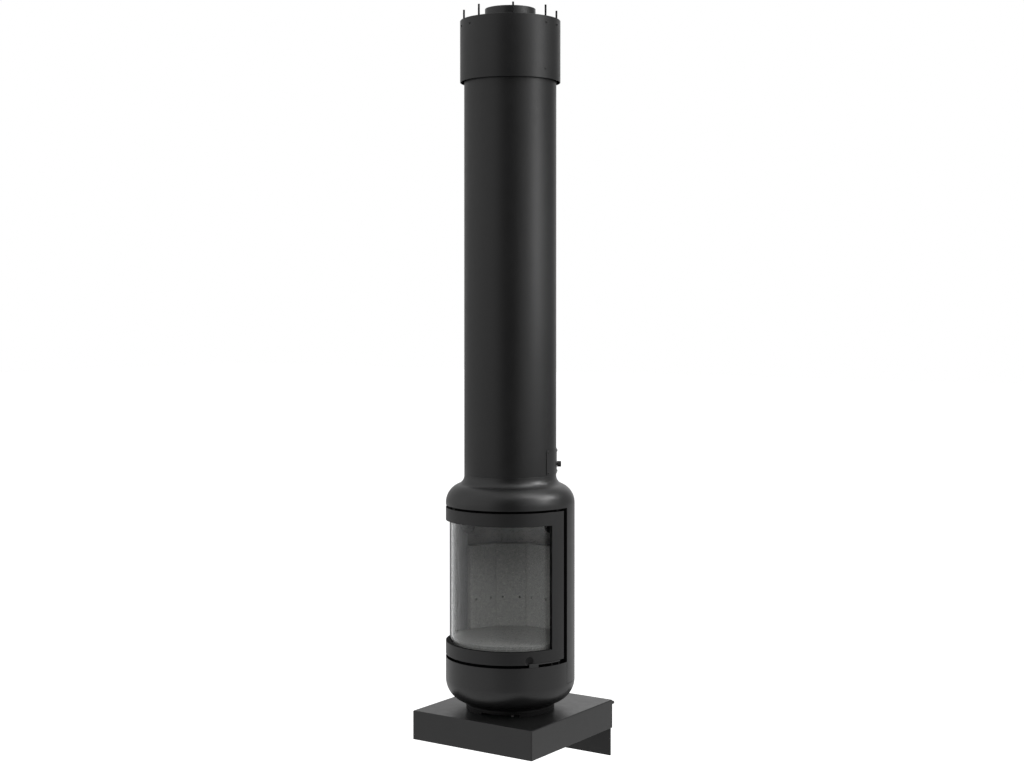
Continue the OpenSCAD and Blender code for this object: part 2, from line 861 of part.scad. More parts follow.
module damper_knob() {
    color([0.05, 0.05, 0.05]) at_damper() translate([knob_start, 0, 0]) rotate([0, 90, 0])
        difference() {
            rotate_extrude() polygon([
                [0, 0], [knob_r, 0], [knob_r, knob_h - knob_round],
                [knob_r - knob_round, knob_h], [0, knob_h]
            ]);
            translate([0, 0, -over]) cylinder(r = spindle_r, h = knob_h - spindle_end + over);
        }
}

// Ceiling collar

ceiling_lip = 2;
ceiling_ring_z = collar_top_z - ceiling_lip - ceiling_ring_t;
ceiling_flange_t = 2.7;
ceiling_hole_gap = 2;
ceiling_stud_count = 8;
ceiling_stud_phase = 37.6;

// Places its children at each ceiling stud
module at_ceiling_studs() {
    at_stove() for (i = [1:ceiling_stud_count])
        at_angle(ceiling_stud_circle, ceiling_stud_phase + i * 360 / ceiling_stud_count,
                 ceiling_ring_z)
            children();
}

collar_screw_angles = [-41, -19, 79, 101, 199, 221];
collar_screw_drop = 19;
collar_screw_r = 2;
collar_screw_head_r = 3.4;
collar_screw_head_h = 1.8;

// Places its children at each screw of the collar, with X pointing outwards
module at_collar_screws() {
    at_stove() for (angle = collar_screw_angles)
        at_angle(0, angle, collar_top_z - collar_screw_drop) children();
}

module ceiling_ring() {
    color("dimgray") difference() {
        at_stove() union() {
            ring(pipe_r + ceiling_hole_gap, collar_in_r - seat, ceiling_ring_z,
                 ceiling_ring_z + ceiling_ring_t);
            ring(collar_in_r - seat - ceiling_flange_t, collar_in_r - seat,
                 ceiling_ring_z - ceiling_flange_h, ceiling_ring_z + over);
        }
        at_ceiling_studs() translate([0, 0, -over])
            cylinder(r = ceiling_stud_r + ceiling_stud_step, h = ceiling_ring_t + 2 * over);
        at_collar_screws() rod_x(collar_screw_r, tube_r, collar_r + over);
    }
}

module ceiling_studs() {
    color([0.1, 0.1, 0.1]) at_ceiling_studs() {
        cylinder(r = ceiling_stud_r + ceiling_stud_step, h = collar_top_z - ceiling_ring_z);
        cylinder(r = ceiling_stud_r, h = collar_top_z + ceiling_stud_out - ceiling_ring_z);
    }
}

module ceiling_collar() {
    color([0.1, 0.1, 0.1]) difference() {
        at_stove() ring(collar_in_r, collar_r, collar_z, collar_top_z);
        at_collar_screws() rod_x(collar_screw_r, tube_r, collar_r + over);
        at_collar_clamp() rod_x(clamp_screw_r, tube_r, collar_r + over);
    }
}

module collar_screws() {
    color([0.1, 0.1, 0.1]) at_collar_screws() {
        rod_x(collar_screw_head_r, collar_r, collar_r + collar_screw_head_h);
        rod_x(collar_screw_r, collar_in_r - seat - ceiling_flange_t, collar_r);
    }
}

clamp_screw_angle = 77.7;
clamp_screw_rise = 27;
clamp_screw_r = 2.5;

module at_collar_clamp() {
    at_stove() at_angle(0, clamp_screw_angle, collar_z + clamp_screw_rise) children();
}

module collar_clamp_screw() {
    color([0.1, 0.1, 0.1]) at_collar_clamp() {
        rod_x(collar_screw_head_r, collar_r, collar_r + collar_screw_head_h);
        rod_x(clamp_screw_r, tube_in_r, collar_r);
    }
}

// Door

hinge_wall = 1;
hinge_r = body_in_r - hinge_pin_r - hinge_wall;
hinge_pin_in = 12;
hinge_bore_depth = hinge_pin_in + 2;
hinge_tongue_t = deck_t;
hinge_tongue_angle = 3;
blade_top_gap = 0.7;
handle_cut_top = door_low_z + blade_h + blade_top_gap;
blade_side_angle = 0.4;
recess_angle = 51;
recess_r = 22;
recess_out_share = 0.75;
recess_rise = 11;
handle_r = (body_r + door_in_r) / 2;
handle_pin_h = 16;
clip_screw_r = 1.6;
clip_screw_rise = 13.2;
clip_screw_z = window_top_z + clip_screw_rise;
clip_angles = [-79.2, -12.3, 79.2];
clip_r = 33;
clip_rise = 7;
clip_half_angle = 20;
seat_angle = 0.3;

module at_clip_screws() {
    at_stove() for (angle = clip_angles) at_angle(0, angle, clip_screw_z) children();
}

module door_frame() {
    color([0.12, 0.12, 0.12]) difference() {
        at_stove() sector(door_in_r, body_r, door_low_z, door_top_z, -door_angle, door_angle);
        at_stove() sector(door_in_r - over, body_r + over, window_low_z, window_top_z,
                          -window_angle, window_angle);
        at_stove() sector(door_in_r - over, body_r + over, door_low_z - over, handle_cut_top,
                          tab_angle - blade_side_angle, door_angle + over);
        at_stove() at_angle(body_r + recess_r * recess_out_share, recess_angle,
                            door_low_z + recess_rise)
            sphere(r = recess_r);
        at_stove() for (z = [door_low_z, door_top_z]) at_angle(hinge_r, -hinge_angle, z)
            cylinder(r = hinge_pin_r + run_fit, h = 2 * hinge_bore_depth, center = true);
        at_stove() at_angle(handle_r, handle_angle, door_low_z)
            cylinder(r = handle_pin_r, h = handle_pin_h + over);
    }
}

module door_glass() {
    color([0.4, 0.4, 0.4, 0.4]) at_stove()
        sector(glass_in_r, glass_out_r, window_low_z - glass_lap, window_top_z + glass_lap,
               -glass_angle, glass_angle);
}

tape_lap_share = 0.85;
tape_angle = glass_angle - (glass_angle - window_angle) * tape_lap_share;

module glass_tape() {
    color("darkgray") at_stove() difference() {
        sector(glass_out_r, door_in_r, window_low_z - glass_lap, window_top_z + glass_lap,
               -glass_angle, glass_angle);
        sector(glass_out_r - over, door_in_r + over,
               window_low_z - glass_lap * (1 - tape_lap_share),
               window_top_z + glass_lap * (1 - tape_lap_share), -tape_angle, tape_angle);
    }
}

seal_gap = 2;
seal_turn = seal_w / glass_out_r * 180 / PI;
// Room above the glass for the screws of the clips
seal_top_gap = 5;
seal_low_z = window_low_z - glass_lap - seal_gap;
seal_top_z = window_top_z + glass_lap + seal_gap + seal_top_gap;

module door_seal() {
    color("darkgray") at_stove() difference() {
        sector(clip_in_r, door_in_r, seal_low_z - seal_w, seal_top_z + seal_w,
               -seal_angle - seal_turn, seal_angle + seal_turn);
        sector(clip_in_r - over, door_in_r + over, seal_low_z, seal_top_z,
               -seal_angle, seal_angle);
    }
}

module glass_clips() {
    color("dimgray") at_stove() for (angle = clip_angles) difference() {
        intersection() {
            sector(clip_in_r, glass_in_r - seat, window_low_z, seal_top_z - seat,
                   max(angle - clip_half_angle, -seal_angle + seat_angle),
                   min(angle + clip_half_angle, seal_angle - seat_angle));
            at_angle(0, angle, window_top_z + clip_rise)
                rod_x(clip_r, clip_in_r - landing_t, glass_in_r + over);
        }
        at_angle(0, angle, clip_screw_z) rod_x(clip_screw_r, clip_in_r - over, glass_in_r + over);
    }
}

module clip_screws() {
    color("silver") at_clip_screws() rod_x(clip_screw_r, clip_in_r, door_in_r);
}

low_tongue_z = opening_low - seat - hinge_tongue_t;

module hinge_brackets() {
    color("dimgray") at_stove() for (z = [low_tongue_z, top_plate_z]) difference() {
        sector(landing_out_r, body_in_r - seat, z, z + hinge_tongue_t,
               -hinge_angle - hinge_tongue_angle, -hinge_angle + hinge_tongue_angle);
        at_angle(hinge_r, -hinge_angle, z - over)
            cylinder(r = hinge_pin_r, h = hinge_tongue_t + 2 * over);
    }
}

module hinge_pins() {
    color("silver") at_stove() {
        at_angle(hinge_r, -hinge_angle, low_tongue_z)
            cylinder(r = hinge_pin_r, h = door_low_z + hinge_pin_in - low_tongue_z);
        at_angle(hinge_r, -hinge_angle, door_top_z - hinge_pin_in)
            cylinder(r = hinge_pin_r,
                     h = top_plate_z + hinge_tongue_t - door_top_z + hinge_pin_in);
    }
}

tab_t = 5;

module door_handle() {
    color([0.12, 0.12, 0.12]) at_stove() difference() {
        union() {
            sector(door_in_r + seat, body_r, door_low_z, door_low_z + blade_h, tab_angle,
                   blade_end_angle);
            sector(body_r - tab_t, body_r, opening_low + 2 * seat, door_low_z + blade_h,
                   tab_angle, blade_angle);
        }
        at_angle(handle_r, handle_angle, door_low_z - over)
            cylinder(r = handle_pin_r + run_fit, h = blade_h + 2 * over);
    }
}

module handle_pin() {
    color("silver") at_stove() at_angle(handle_r, handle_angle, door_low_z)
        cylinder(r = handle_pin_r, h = handle_pin_h);
}

// Roller catch behind the door's edge

catch_half_angle = 2;
// Angle between the seal's outer edge and the catch
catch_seal_angle = 0.363;
catch_angle = seal_angle + seal_turn + catch_half_angle + catch_seal_angle;
roller_r = 4.5;
roller_h = 14;
roller_gap = 0.5;
roller_rise = 12;
catch_plate_t = 2.5;
roller_pin_r = 1.5;
catch_r = door_in_r - roller_r - roller_gap;
roller_z = door_low_z + roller_rise;

module catch_roller() {
    color("silver") at_stove() at_angle(catch_r, catch_angle, roller_z) difference() {
        cylinder(r = roller_r, h = roller_h);
        translate([0, 0, -over])
            cylinder(r = roller_pin_r + run_fit, h = roller_h + 2 * over);
    }
}

module catch_bracket() {
    color("dimgray") at_stove() {
        for (z = [roller_z - seat - catch_plate_t, roller_z + roller_h + seat])
            sector(catch_r - roller_pin_r, door_in_r, z, z + catch_plate_t,
                   catch_angle - catch_half_angle, catch_angle + catch_half_angle);
        at_angle(catch_r, catch_angle, roller_z - seat - catch_plate_t)
            cylinder(r = roller_pin_r, h = roller_h + 2 * seat + 2 * catch_plate_t);
    }
}

module catch_keeper() {
    color("dimgray") at_stove()
        sector(landing_out_r, catch_r - roller_r - seat, roller_z, roller_z + roller_h,
               catch_angle - catch_half_angle, catch_angle + catch_half_angle);
}

// Small guides that keep the door's gaps even: angle and half width of each
guide_top_angles = [[-25.1, 2.2], [79.4, 0.8]];
guide_low_angles = [[73.2, 0.8], [81.4, 0.6]];
guide_t = 6;

module door_guides() {
    color([0.12, 0.12, 0.12]) at_stove() {
        for (g = guide_top_angles)
            sector(body_r - guide_t, body_r, door_top_z + seat, opening_top,
                   g[0] - g[1], g[0] + g[1]);
        for (g = guide_low_angles)
            sector(body_r - guide_t, body_r, opening_low, door_low_z - seat,
                   g[0] - g[1], g[0] + g[1]);
    }
}

wall_plate();
wall_studs();
wall_washers();
wall_nuts();
bracket_arms();
carrier_plate();
console_box();
foot_ring();
foot_bolts();
foot_nuts();
air_slide();
air_pivot();
air_duct();
bottom_bowl();
body_casing();
floor_plate();
door_jamb_frame();
firebox_liner();
firebox_top();
hearth_stand();
hearth_slab();
lining_panel_1();
lining_panel_2();
lining_panel_3();
lining_panel_4();
lining_panel_5();
baffle_rail();
baffle_plate();
flue_collar();
flue_pipe();
flue_spigot();
tube_sleeve();
tube_cover();
tube_spacers();
damper_hatch();
hatch_screws();
damper_spindle();
damper_disc();
damper_screws();
damper_knob();
ceiling_ring();
ceiling_studs();
ceiling_collar();
collar_screws();
collar_clamp_screw();
door_frame();
door_glass();
glass_tape();
door_seal();
glass_clips();
clip_screws();
hinge_brackets();
hinge_pins();
door_handle();
handle_pin();
catch_roller();
catch_bracket();
catch_keeper();
door_guides();
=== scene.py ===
# Looks of the slim round wood stove on its wall console.
# Metres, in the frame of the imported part.
import json
import math

import bmesh
import bpy
from mathutils import Matrix, Vector


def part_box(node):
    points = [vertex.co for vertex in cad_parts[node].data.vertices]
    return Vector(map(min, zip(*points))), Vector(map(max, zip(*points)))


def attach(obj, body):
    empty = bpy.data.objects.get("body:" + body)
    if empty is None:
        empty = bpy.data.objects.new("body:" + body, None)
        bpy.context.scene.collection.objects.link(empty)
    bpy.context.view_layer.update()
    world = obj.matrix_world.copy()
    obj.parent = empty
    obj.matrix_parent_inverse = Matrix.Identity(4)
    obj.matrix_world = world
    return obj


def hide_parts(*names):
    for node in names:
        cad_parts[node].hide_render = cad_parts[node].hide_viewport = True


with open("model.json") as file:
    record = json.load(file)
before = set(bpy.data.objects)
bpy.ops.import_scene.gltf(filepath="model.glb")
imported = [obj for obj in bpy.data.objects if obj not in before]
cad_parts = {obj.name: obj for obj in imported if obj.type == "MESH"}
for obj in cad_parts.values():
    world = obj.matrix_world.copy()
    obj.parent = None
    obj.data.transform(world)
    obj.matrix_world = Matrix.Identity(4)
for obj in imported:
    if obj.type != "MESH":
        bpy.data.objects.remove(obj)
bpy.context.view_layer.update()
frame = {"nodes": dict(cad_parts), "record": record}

MM = 0.001

# Places and sizes that the frame gives

def low(node):
    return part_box(node)[0]


def high(node):
    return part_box(node)[1]


def reach(node):
    """The radius of a round node, from its width."""
    return (high(node).x - low(node).x) / 2


AXIS_Y = (low("flue_spigot").y + high("flue_spigot").y) / 2
BASE_Z = high("console_box").z
BODY_R = reach("body_casing")
FOOT_R = reach("foot_ring")
FOOT_TOP = high("foot_ring").z
SKIRT_TOP = high("bottom_bowl").z
CASING_LOW = low("body_casing").z
TUBE_R = reach("tube_cover")
TUBE_Z = low("tube_cover").z
TUBE_TOP = high("tube_cover").z
COLLAR_R = reach("ceiling_collar")
COLLAR_Z = low("ceiling_collar").z
COLLAR_TOP = high("ceiling_collar").z
SPIGOT_TOP = high("flue_spigot").z
DOOR_LOW = low("door_frame").z
DOOR_TOP = high("door_frame").z
GLASS_LOW = low("door_glass").z
GLASS_TOP = high("door_glass").z

# Painted light and shade on the lining: its own colour is scaled from a paler share low down to a
# darker share high up, between these heights
LINING_TOP = high("lining_panel_1").z
LIGHT_TO_SHADE_LOW = LINING_TOP - 290 * MM
LIGHT_TO_SHADE_HIGH = LINING_TOP + 10 * MM
PAINTED_LIGHT_BELOW = 1.3
PAINTED_SHADE_ABOVE = 0.68

# Sizes of the sheet work, as the part's source has them
SKIN = 3 * MM
SKIN_EDGE = 0.5 * MM
TUBE_WALL = 2 * MM
COLLAR_WALL = 2 * MM
BOWL_R = 66 * MM
BOWL_HOLLOW_R = 11 * MM
BOWL_LIP = 1 * MM
BOWL_FLANGE_R = 116.52 * MM
SEAM_GAP = 0.5 * MM
SHOULDER_RISE = 6 * MM
SHOULDER_R = 58 * MM
NECK_R = 27.5 * MM
OPENING_ANGLE = 94
DOOR_GAP_TOP = 7 * MM
OPENING_TOP = DOOR_TOP + DOOR_GAP_TOP

# Sizes of the door
DOOR_ANGLE = 88.6
DOOR_T = 10.6 * MM
RAIL_LOW_H = 38 * MM
RAIL_TOP_H = 38 * MM
WINDOW_ANGLE = 73.4
WINDOW_LOW = DOOR_LOW + RAIL_LOW_H
WINDOW_TOP = DOOR_TOP - RAIL_TOP_H
DOOR_IN_R = BODY_R - DOOR_T
GLASS_ANGLE = 79
TAPE_T = 3.4 * MM
GLASS_T = 4 * MM
GLASS_OUT_R = DOOR_IN_R - TAPE_T
GLASS_IN_R = GLASS_OUT_R - GLASS_T
CLIP_T = 2.6 * MM
DOOR_EDGE = 0.35 * MM
JAMB_R = 175 * MM
SEAT = 0.3 * MM

# A face that looks less than this along the radius is an edge of its sheet
EDGE_FACING = 0.2

# Sizes of the handle
TAB_ANGLE = 50.8
BLADE_ANGLE = 59.4
BLADE_END_ANGLE = 83
BLADE_SIDE_ANGLE = 0.4
BLADE_H = 3.8 * MM
BLADE_TOP_GAP = 0.7 * MM
TAB_T = 5 * MM
RECESS_ANGLE = 51
RECESS_R = 22 * MM
RECESS_OUT_SHARE = 0.75
RECESS_RISE = 11 * MM

# The camera of the photograph, round the stove's axis and above the console
CAMERA_AZIMUTH = 34.212
CAMERA_DISTANCE = 4794.9 * MM
CAMERA_HEIGHT = 1186.4 * MM
CAMERA_PITCH = 0.509
CAMERA_LENS = 56.886
CAMERA_SHIFT = (0.00169, -0.06142)
SENSOR_W = 36


def at(radius, angle, z):
    """A point at a radius from the stove's axis, an angle from its front and a height."""
    turn = math.radians(angle)
    return Vector((radius * math.sin(turn), AXIS_Y - radius * math.cos(turn), z))


def outwards(radius, angle, z):
    """A place whose local Z points away from the stove's axis and whose local Y points up."""
    turn = math.radians(angle)
    side = Vector((math.cos(turn), math.sin(turn), 0))
    out = Vector((math.sin(turn), -math.cos(turn), 0))
    place = Matrix((side, Vector((0, 0, 1)), out)).transposed().to_4x4()
    place.translation = at(radius, angle, z)
    return place


# Camera

def make_camera():
    data = bpy.data.cameras.new("camera")
    camera = bpy.data.objects.new("camera", data)
    bpy.context.scene.collection.objects.link(camera)
    data.sensor_width = SENSOR_W
    data.lens = CAMERA_LENS
    data.shift_x, data.shift_y = CAMERA_SHIFT
    data.clip_end = 100
    aim = math.radians(CAMERA_AZIMUTH)
    pitch = math.radians(CAMERA_PITCH)
    level = Vector((-math.sin(aim), math.cos(aim), 0))
    forward = level * math.cos(pitch) - Vector((0, 0, math.sin(pitch)))
    right = Vector((math.cos(aim), math.sin(aim), 0))
    up = right.cross(forward)
    place = Matrix((right, up, -forward)).transposed().to_4x4()
    place.translation = at(CAMERA_DISTANCE, CAMERA_AZIMUTH, BASE_Z + CAMERA_HEIGHT)
    camera.matrix_world = place
    bpy.context.scene.camera = camera


make_camera()


# Mesh tools

def spread(start, end, step):
    """Even values from start to end, no further apart than about step."""
    count = max(1, math.ceil(abs(end - start) / step - 0.001))
    return [start + (end - start) * i / count for i in range(count + 1)]


def stepped(start, *runs):
    """Rising values from start, in runs that each have an end and a step."""
    values = [start]
    for end, step in runs:
        values += spread(values[-1], end, step)[1:]
    return values


def make_object(name, points, faces, sharp=40):
    """A clean mesh object with smooth shading and sharp edges past an angle."""
    mesh = bpy.data.meshes.new(name)
    mesh.from_pydata([tuple(p) for p in points], [], faces)
    work = bmesh.new()
    work.from_mesh(mesh)
    bmesh.ops.remove_doubles(work, verts=work.verts, dist=1e-6)
    bmesh.ops.dissolve_degenerate(work, edges=work.edges, dist=1e-7)
    bmesh.ops.recalc_face_normals(work, faces=work.faces)
    work.to_mesh(mesh)
    work.free()
    mesh.polygons.foreach_set("use_smooth", [True] * len(mesh.polygons))
    mesh.set_sharp_from_angle(angle=math.radians(sharp))
    piece = bpy.data.objects.new(name, mesh)
    bpy.context.scene.collection.objects.link(piece)
    return piece


def soften(piece, width, segments=2, angle=50):
    """Rounds the edges that are sharper than an angle."""
    bevel = piece.modifiers.new("edges", "BEVEL")
    bevel.width = width
    bevel.segments = segments
    bevel.limit_method = "ANGLE"
    bevel.angle_limit = math.radians(angle)
    bevel.harden_normals = True
    bevel.use_clamp_overlap = True


def offset_rows(rows, depth):
    """The rows of a profile moved inwards, square to the profile."""
    moved = []
    for i, (r, z) in enumerate(rows):
        before = rows[max(i - 1, 0)]
        after = rows[min(i + 1, len(rows) - 1)]
        run = Vector((after[0] - before[0], after[1] - before[1])).normalized()
        moved.append((r - run.y * depth, z + run.x * depth))
    return moved


def shell(name, angles, rows, thickness, keep=None, shape=None):
    """A curved sheet round the axis. Rows are (radius, height) of its outer face, from low to high.
    keep says which cells stay, by their middle angle and height, and shape may move the outer face."""
    closed = abs(angles[-1] - angles[0] - 360) < 1e-6
    columns = len(angles) - 1 if closed else len(angles)
    cells_across = len(angles) - 1
    inner_rows = offset_rows(rows, thickness)
    points = []
    for r, z in rows:
        for angle in angles[:columns]:
            points.append(at(shape(r, angle, z) if shape else r, angle, z))
    points += [at(r, angle, z) for r, z in inner_rows for angle in angles[:columns]]
    layer = len(rows) * columns

    def index(side, i, j):
        return side * layer + i * columns + j % columns

    kept = set()
    for i in range(len(rows) - 1):
        for j in range(cells_across):
            middle_angle = (angles[j] + angles[j + 1]) / 2
            middle_z = (rows[i][1] + rows[i + 1][1]) / 2
            if keep is None or keep(middle_angle, middle_z):
                kept.add((i, j))
    faces = []
    for i, j in kept:
        corners = [(i, j), (i, j + 1), (i + 1, j + 1), (i + 1, j)]
        faces.append([index(0, a, b) for a, b in corners])
        faces.append([index(1, a, b) for a, b in reversed(corners)])
        left = (i, (j - 1) % cells_across) if closed else (i, j - 1)
        right = (i, (j + 1) % cells_across) if closed else (i, j + 1)
        sides = [((i - 1, j), 0, 1), (right, 1, 2), ((i + 1, j), 2, 3), (left, 3, 0)]
        for neighbour, a, b in sides:
            if neighbour not in kept:
                first, second = corners[a], corners[b]
                faces.append([index(0, *second), index(0, *first), index(1, *first),
                              index(1, *second)])
    return make_object(name, points, faces)


def lathe(name, section, step=2.5, sharp=40):
    """A full ring round the axis from a closed section of (radius, height) points."""
    angles = spread(0, 360, step)[:-1]
    points = [at(r, a, z) for a in angles for r, z in section]
    size = len(section)
    faces = []
    for j in range(len(angles)):
        after = (j + 1) % len(angles)
        for i in range(size):
            k = (i + 1) % size
            faces.append([j * size + i, after * size + i, after * size + k, j * size + k])
    return make_object(name, points, faces, sharp)


class Solids:
    """Collects several closed solids for one piece."""

    def __init__(self):
        self.points = []
        self.faces = []

    def loft(self, rings, place=None, caps=True):
        """Joins rings of equal size into one solid."""
        first = len(self.points)
        size = len(rings[0])
        for ring in rings:
            self.points += [place @ Vector(p) if place else Vector(p) for p in ring]
        for i in range(len(rings) - 1):
            for j in range(size):
                k = (j + 1) % size
                a = first + i * size
                self.faces.append([a + j, a + k, a + size + k, a + size + j])
        if caps:
            self.faces.append([first + j for j in reversed(range(size))])
            last = first + (len(rings) - 1) * size
            self.faces.append([last + j for j in range(size)])

    def made(self, name, sharp=40):
        return make_object(name, self.points, self.faces, sharp)


def circle(radius, z, count=48):
    """A ring of local points; radius is a length or a function of the turn in degrees."""
    ring = []
    for i in range(count):
        turn = 360 * i / count
        r = radius(turn) if callable(radius) else radius
        ring.append((r * math.cos(math.radians(turn)), r * math.sin(math.radians(turn)), z))
    return ring


def hexagon(flat):
    """The radius of a hexagon at any turn, from the distance to its flats."""
    return lambda turn: flat / math.cos(math.radians((turn + 30) % 60 - 30))


def arc_rows(centre_r, centre_z, radius, start, end, step=4):
    """Points of an arc in two dimensions, mostly (radius, height), by the angle from the first."""
    turns = [math.radians(a) for a in spread(start, end, step)]
    return [(centre_r + radius * math.cos(turn), centre_z + radius * math.sin(turn)) for turn in turns]


def button_screw(solids, place, head_r, head_h, shank_r, shank_l, socket):
    """A round-headed screw with a hexagon socket, its head standing on local Z 0."""
    rim_h = 0.2 * head_h
    face_r = 0.62 * head_r
    socket_floor = 0.4 * head_h
    floor_share = 0.97
    rings = [circle(shank_r, -shank_l), circle(shank_r, 0), circle(head_r, 0), circle(head_r, rim_h)]
    for a in (20, 40, 60, 75):
        turn = math.radians(a)
        rings.append(circle(face_r + (head_r - face_r) * math.cos(turn),
                            rim_h + (head_h - rim_h) * math.sin(turn)))
    rings.append(circle(face_r, head_h))
    rings.append(circle(hexagon(socket), head_h))
    rings.append(circle(hexagon(socket * floor_share), socket_floor))
    solids.loft(rings, place)


def threaded_rod(solids, place, radius, start, end, pitch, depth):
    """A rod along local Z with a real helical thread and chamfered ends."""
    steps = 6
    chamfer = 1.2 * depth
    rings = []
    for z in spread(start, end, pitch / steps):
        from_end = min(z - start, end - z)
        limit = radius - max(0, chamfer - from_end)

        def wave(turn, z=z, limit=limit):
            phase = (z / pitch - turn / 360) % 1
            return min(limit, radius - depth * abs(2 * phase - 1))

        rings.append(circle(wave, z, 20))
    solids.loft(rings, place)


def bored_ring(solids, place, bore, outer, bottom, top, edge):
    """A ring or nut with its bore and eased rims; outer is a radius or a function of the turn."""
    smallest = min(outer(turn) for turn in range(360)) if callable(outer) else outer
    rim = smallest - edge / 2
    mouth = bore + edge / 2
    rings = [circle(mouth, bottom), circle(rim, bottom), circle(outer, bottom + edge),
             circle(outer, top - edge), circle(rim, top), circle(mouth, top),
             circle(bore, top - edge / 2), circle(bore, bottom + edge / 2), circle(mouth, bottom)]
    solids.loft(rings, place, caps=False)


def put(piece, material, body, slot, *nodes):
    """Dresses a piece, lets it ride on a body and, with nodes, lets it stand for them."""
    piece.data.materials.clear()
    piece.data.materials.append(material)
    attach(piece, body)
    if nodes:
        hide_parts(*nodes)


# Materials

class Nodes:
    """Short calls for the nodes of one tree."""

    def __init__(self, tree):
        self.tree = tree

    def node(self, kind, **settings):
        made = self.tree.nodes.new(kind)
        for key, value in settings.items():
            setattr(made, key, value)
        return made

    def link(self, source, target):
        self.tree.links.new(source, target)

    def feed(self, source, target):
        """Gives a socket another socket's value, a number or a colour."""
        if isinstance(source, bpy.types.NodeSocket):
            self.link(source, target)
        elif isinstance(source, (int, float)):
            target.default_value = source
        else:
            target.default_value = (*source, 1)

    def maths(self, operation, *values):
        """The result of an operation on sockets and numbers."""
        made = self.node("ShaderNodeMath", operation=operation)
        for i, value in enumerate(values):
            self.feed(value, made.inputs[i])
        return made.outputs[0]

    def ranged(self, value, low_out, high_out, low_in=0.3, high_in=0.7):
        """A value moved to another range."""
        ranged = self.node("ShaderNodeMapRange")
        ranged.inputs["From Min"].default_value = low_in
        ranged.inputs["From Max"].default_value = high_in
        ranged.inputs["To Min"].default_value = low_out
        ranged.inputs["To Max"].default_value = high_out
        self.link(value, ranged.inputs["Value"])
        return ranged.outputs["Result"]

    def mixed(self, value, first, second):
        """A colour between two, by a value."""
        mix = self.node("ShaderNodeMix", data_type="RGBA")
        self.link(value, mix.inputs["Factor"])
        self.feed(first, mix.inputs["A"])
        self.feed(second, mix.inputs["B"])
        return mix.outputs["Result"]


class Paint(Nodes):
    """A material in the making, on the object's own coordinates."""

    def __init__(self, name):
        self.material = bpy.data.materials.new(name)
        self.material.use_nodes = True
        super().__init__(self.material.node_tree)
        self.shader = self.tree.nodes["Principled BSDF"]
        self.output = self.tree.nodes["Material Output"]
        self.place = self.node("ShaderNodeTexCoord").outputs["Object"]

    def set(self, name, value):
        self.shader.inputs[name].default_value = value

    def noise(self, scale, detail=2, rough=0.5, stretch=None):
        """A noise value from 0 to 1 over the object, with scale features per metre."""
        place = self.place
        if stretch:
            mapping = self.node("ShaderNodeMapping")
            mapping.inputs["Scale"].default_value = stretch
            self.link(place, mapping.inputs["Vector"])
            place = mapping.outputs["Vector"]
        noise = self.node("ShaderNodeTexNoise")
        noise.inputs["Scale"].default_value = scale
        noise.inputs["Detail"].default_value = detail
        noise.inputs["Roughness"].default_value = rough
        self.link(place, noise.inputs["Vector"])
        return noise.outputs["Fac"]

    def along(self, axis):
        """The place on the object along one axis."""
        parts = self.node("ShaderNodeSeparateXYZ")
        self.link(self.place, parts.inputs["Vector"])
        return parts.outputs[axis]

    def by_height(self, z_low, z_high, first, second):
        """A value that runs from first to second between two heights."""
        return self.ranged(self.along("Z"), first, second, z_low, z_high)

    def shaded(self, colour, shade):
        """A colour made darker or paler by a value."""
        scaled = self.node("ShaderNodeVectorMath", operation="SCALE")
        self.link(colour, scaled.inputs[0])
        self.link(shade, scaled.inputs["Scale"])
        return scaled.outputs["Vector"]

    def colour(self, value, first, second):
        self.link(self.mixed(value, first, second), self.shader.inputs["Base Color"])

    def roughness(self, value, first, second):
        self.link(self.ranged(value, first, second), self.shader.inputs["Roughness"])

    def bump(self, height, strength, distance):
        bump = self.node("ShaderNodeBump")
        bump.inputs["Strength"].default_value = strength
        bump.inputs["Distance"].default_value = distance
        self.link(height, bump.inputs["Height"])
        self.link(bump.outputs["Normal"], self.shader.inputs["Normal"])


def grey(level):
    return (level, level, level * 1.02)


def matt_paint(name, level, rough, specular):
    """Heat-proof matt paint: nearly black, with a fine grain and slightly uneven gloss."""
    paint = Paint(name)
    paint.colour(paint.ranged(paint.noise(7, 3), 0, 1), grey(level * 0.9), grey(level * 1.12))
    paint.roughness(paint.noise(38, 4, 0.6), rough - 0.025, rough + 0.025)
    paint.bump(paint.noise(1500, 2, 0.6), 0.12, 0.0001)
    paint.set("Specular IOR Level", specular)
    return paint.material


def dull_steel(name, level, rough):
    """Steel that heat has darkened, with faint cloudy stains and rolling marks."""
    steel = Paint(name)
    clouds = steel.noise(22, 5, 0.6)
    warm = (level * 1.2, level * 1.14, level * 1.06)
    steel.colour(steel.ranged(clouds, 0, 1), grey(level * 0.75), warm)
    steel.roughness(steel.noise(60, 3), rough - 0.06, rough + 0.06)
    steel.set("Metallic", 0.6)
    steel.bump(steel.noise(600, 3, 0.6, (1, 1, 0.05)), 0.06, 0.0001)
    return steel.material


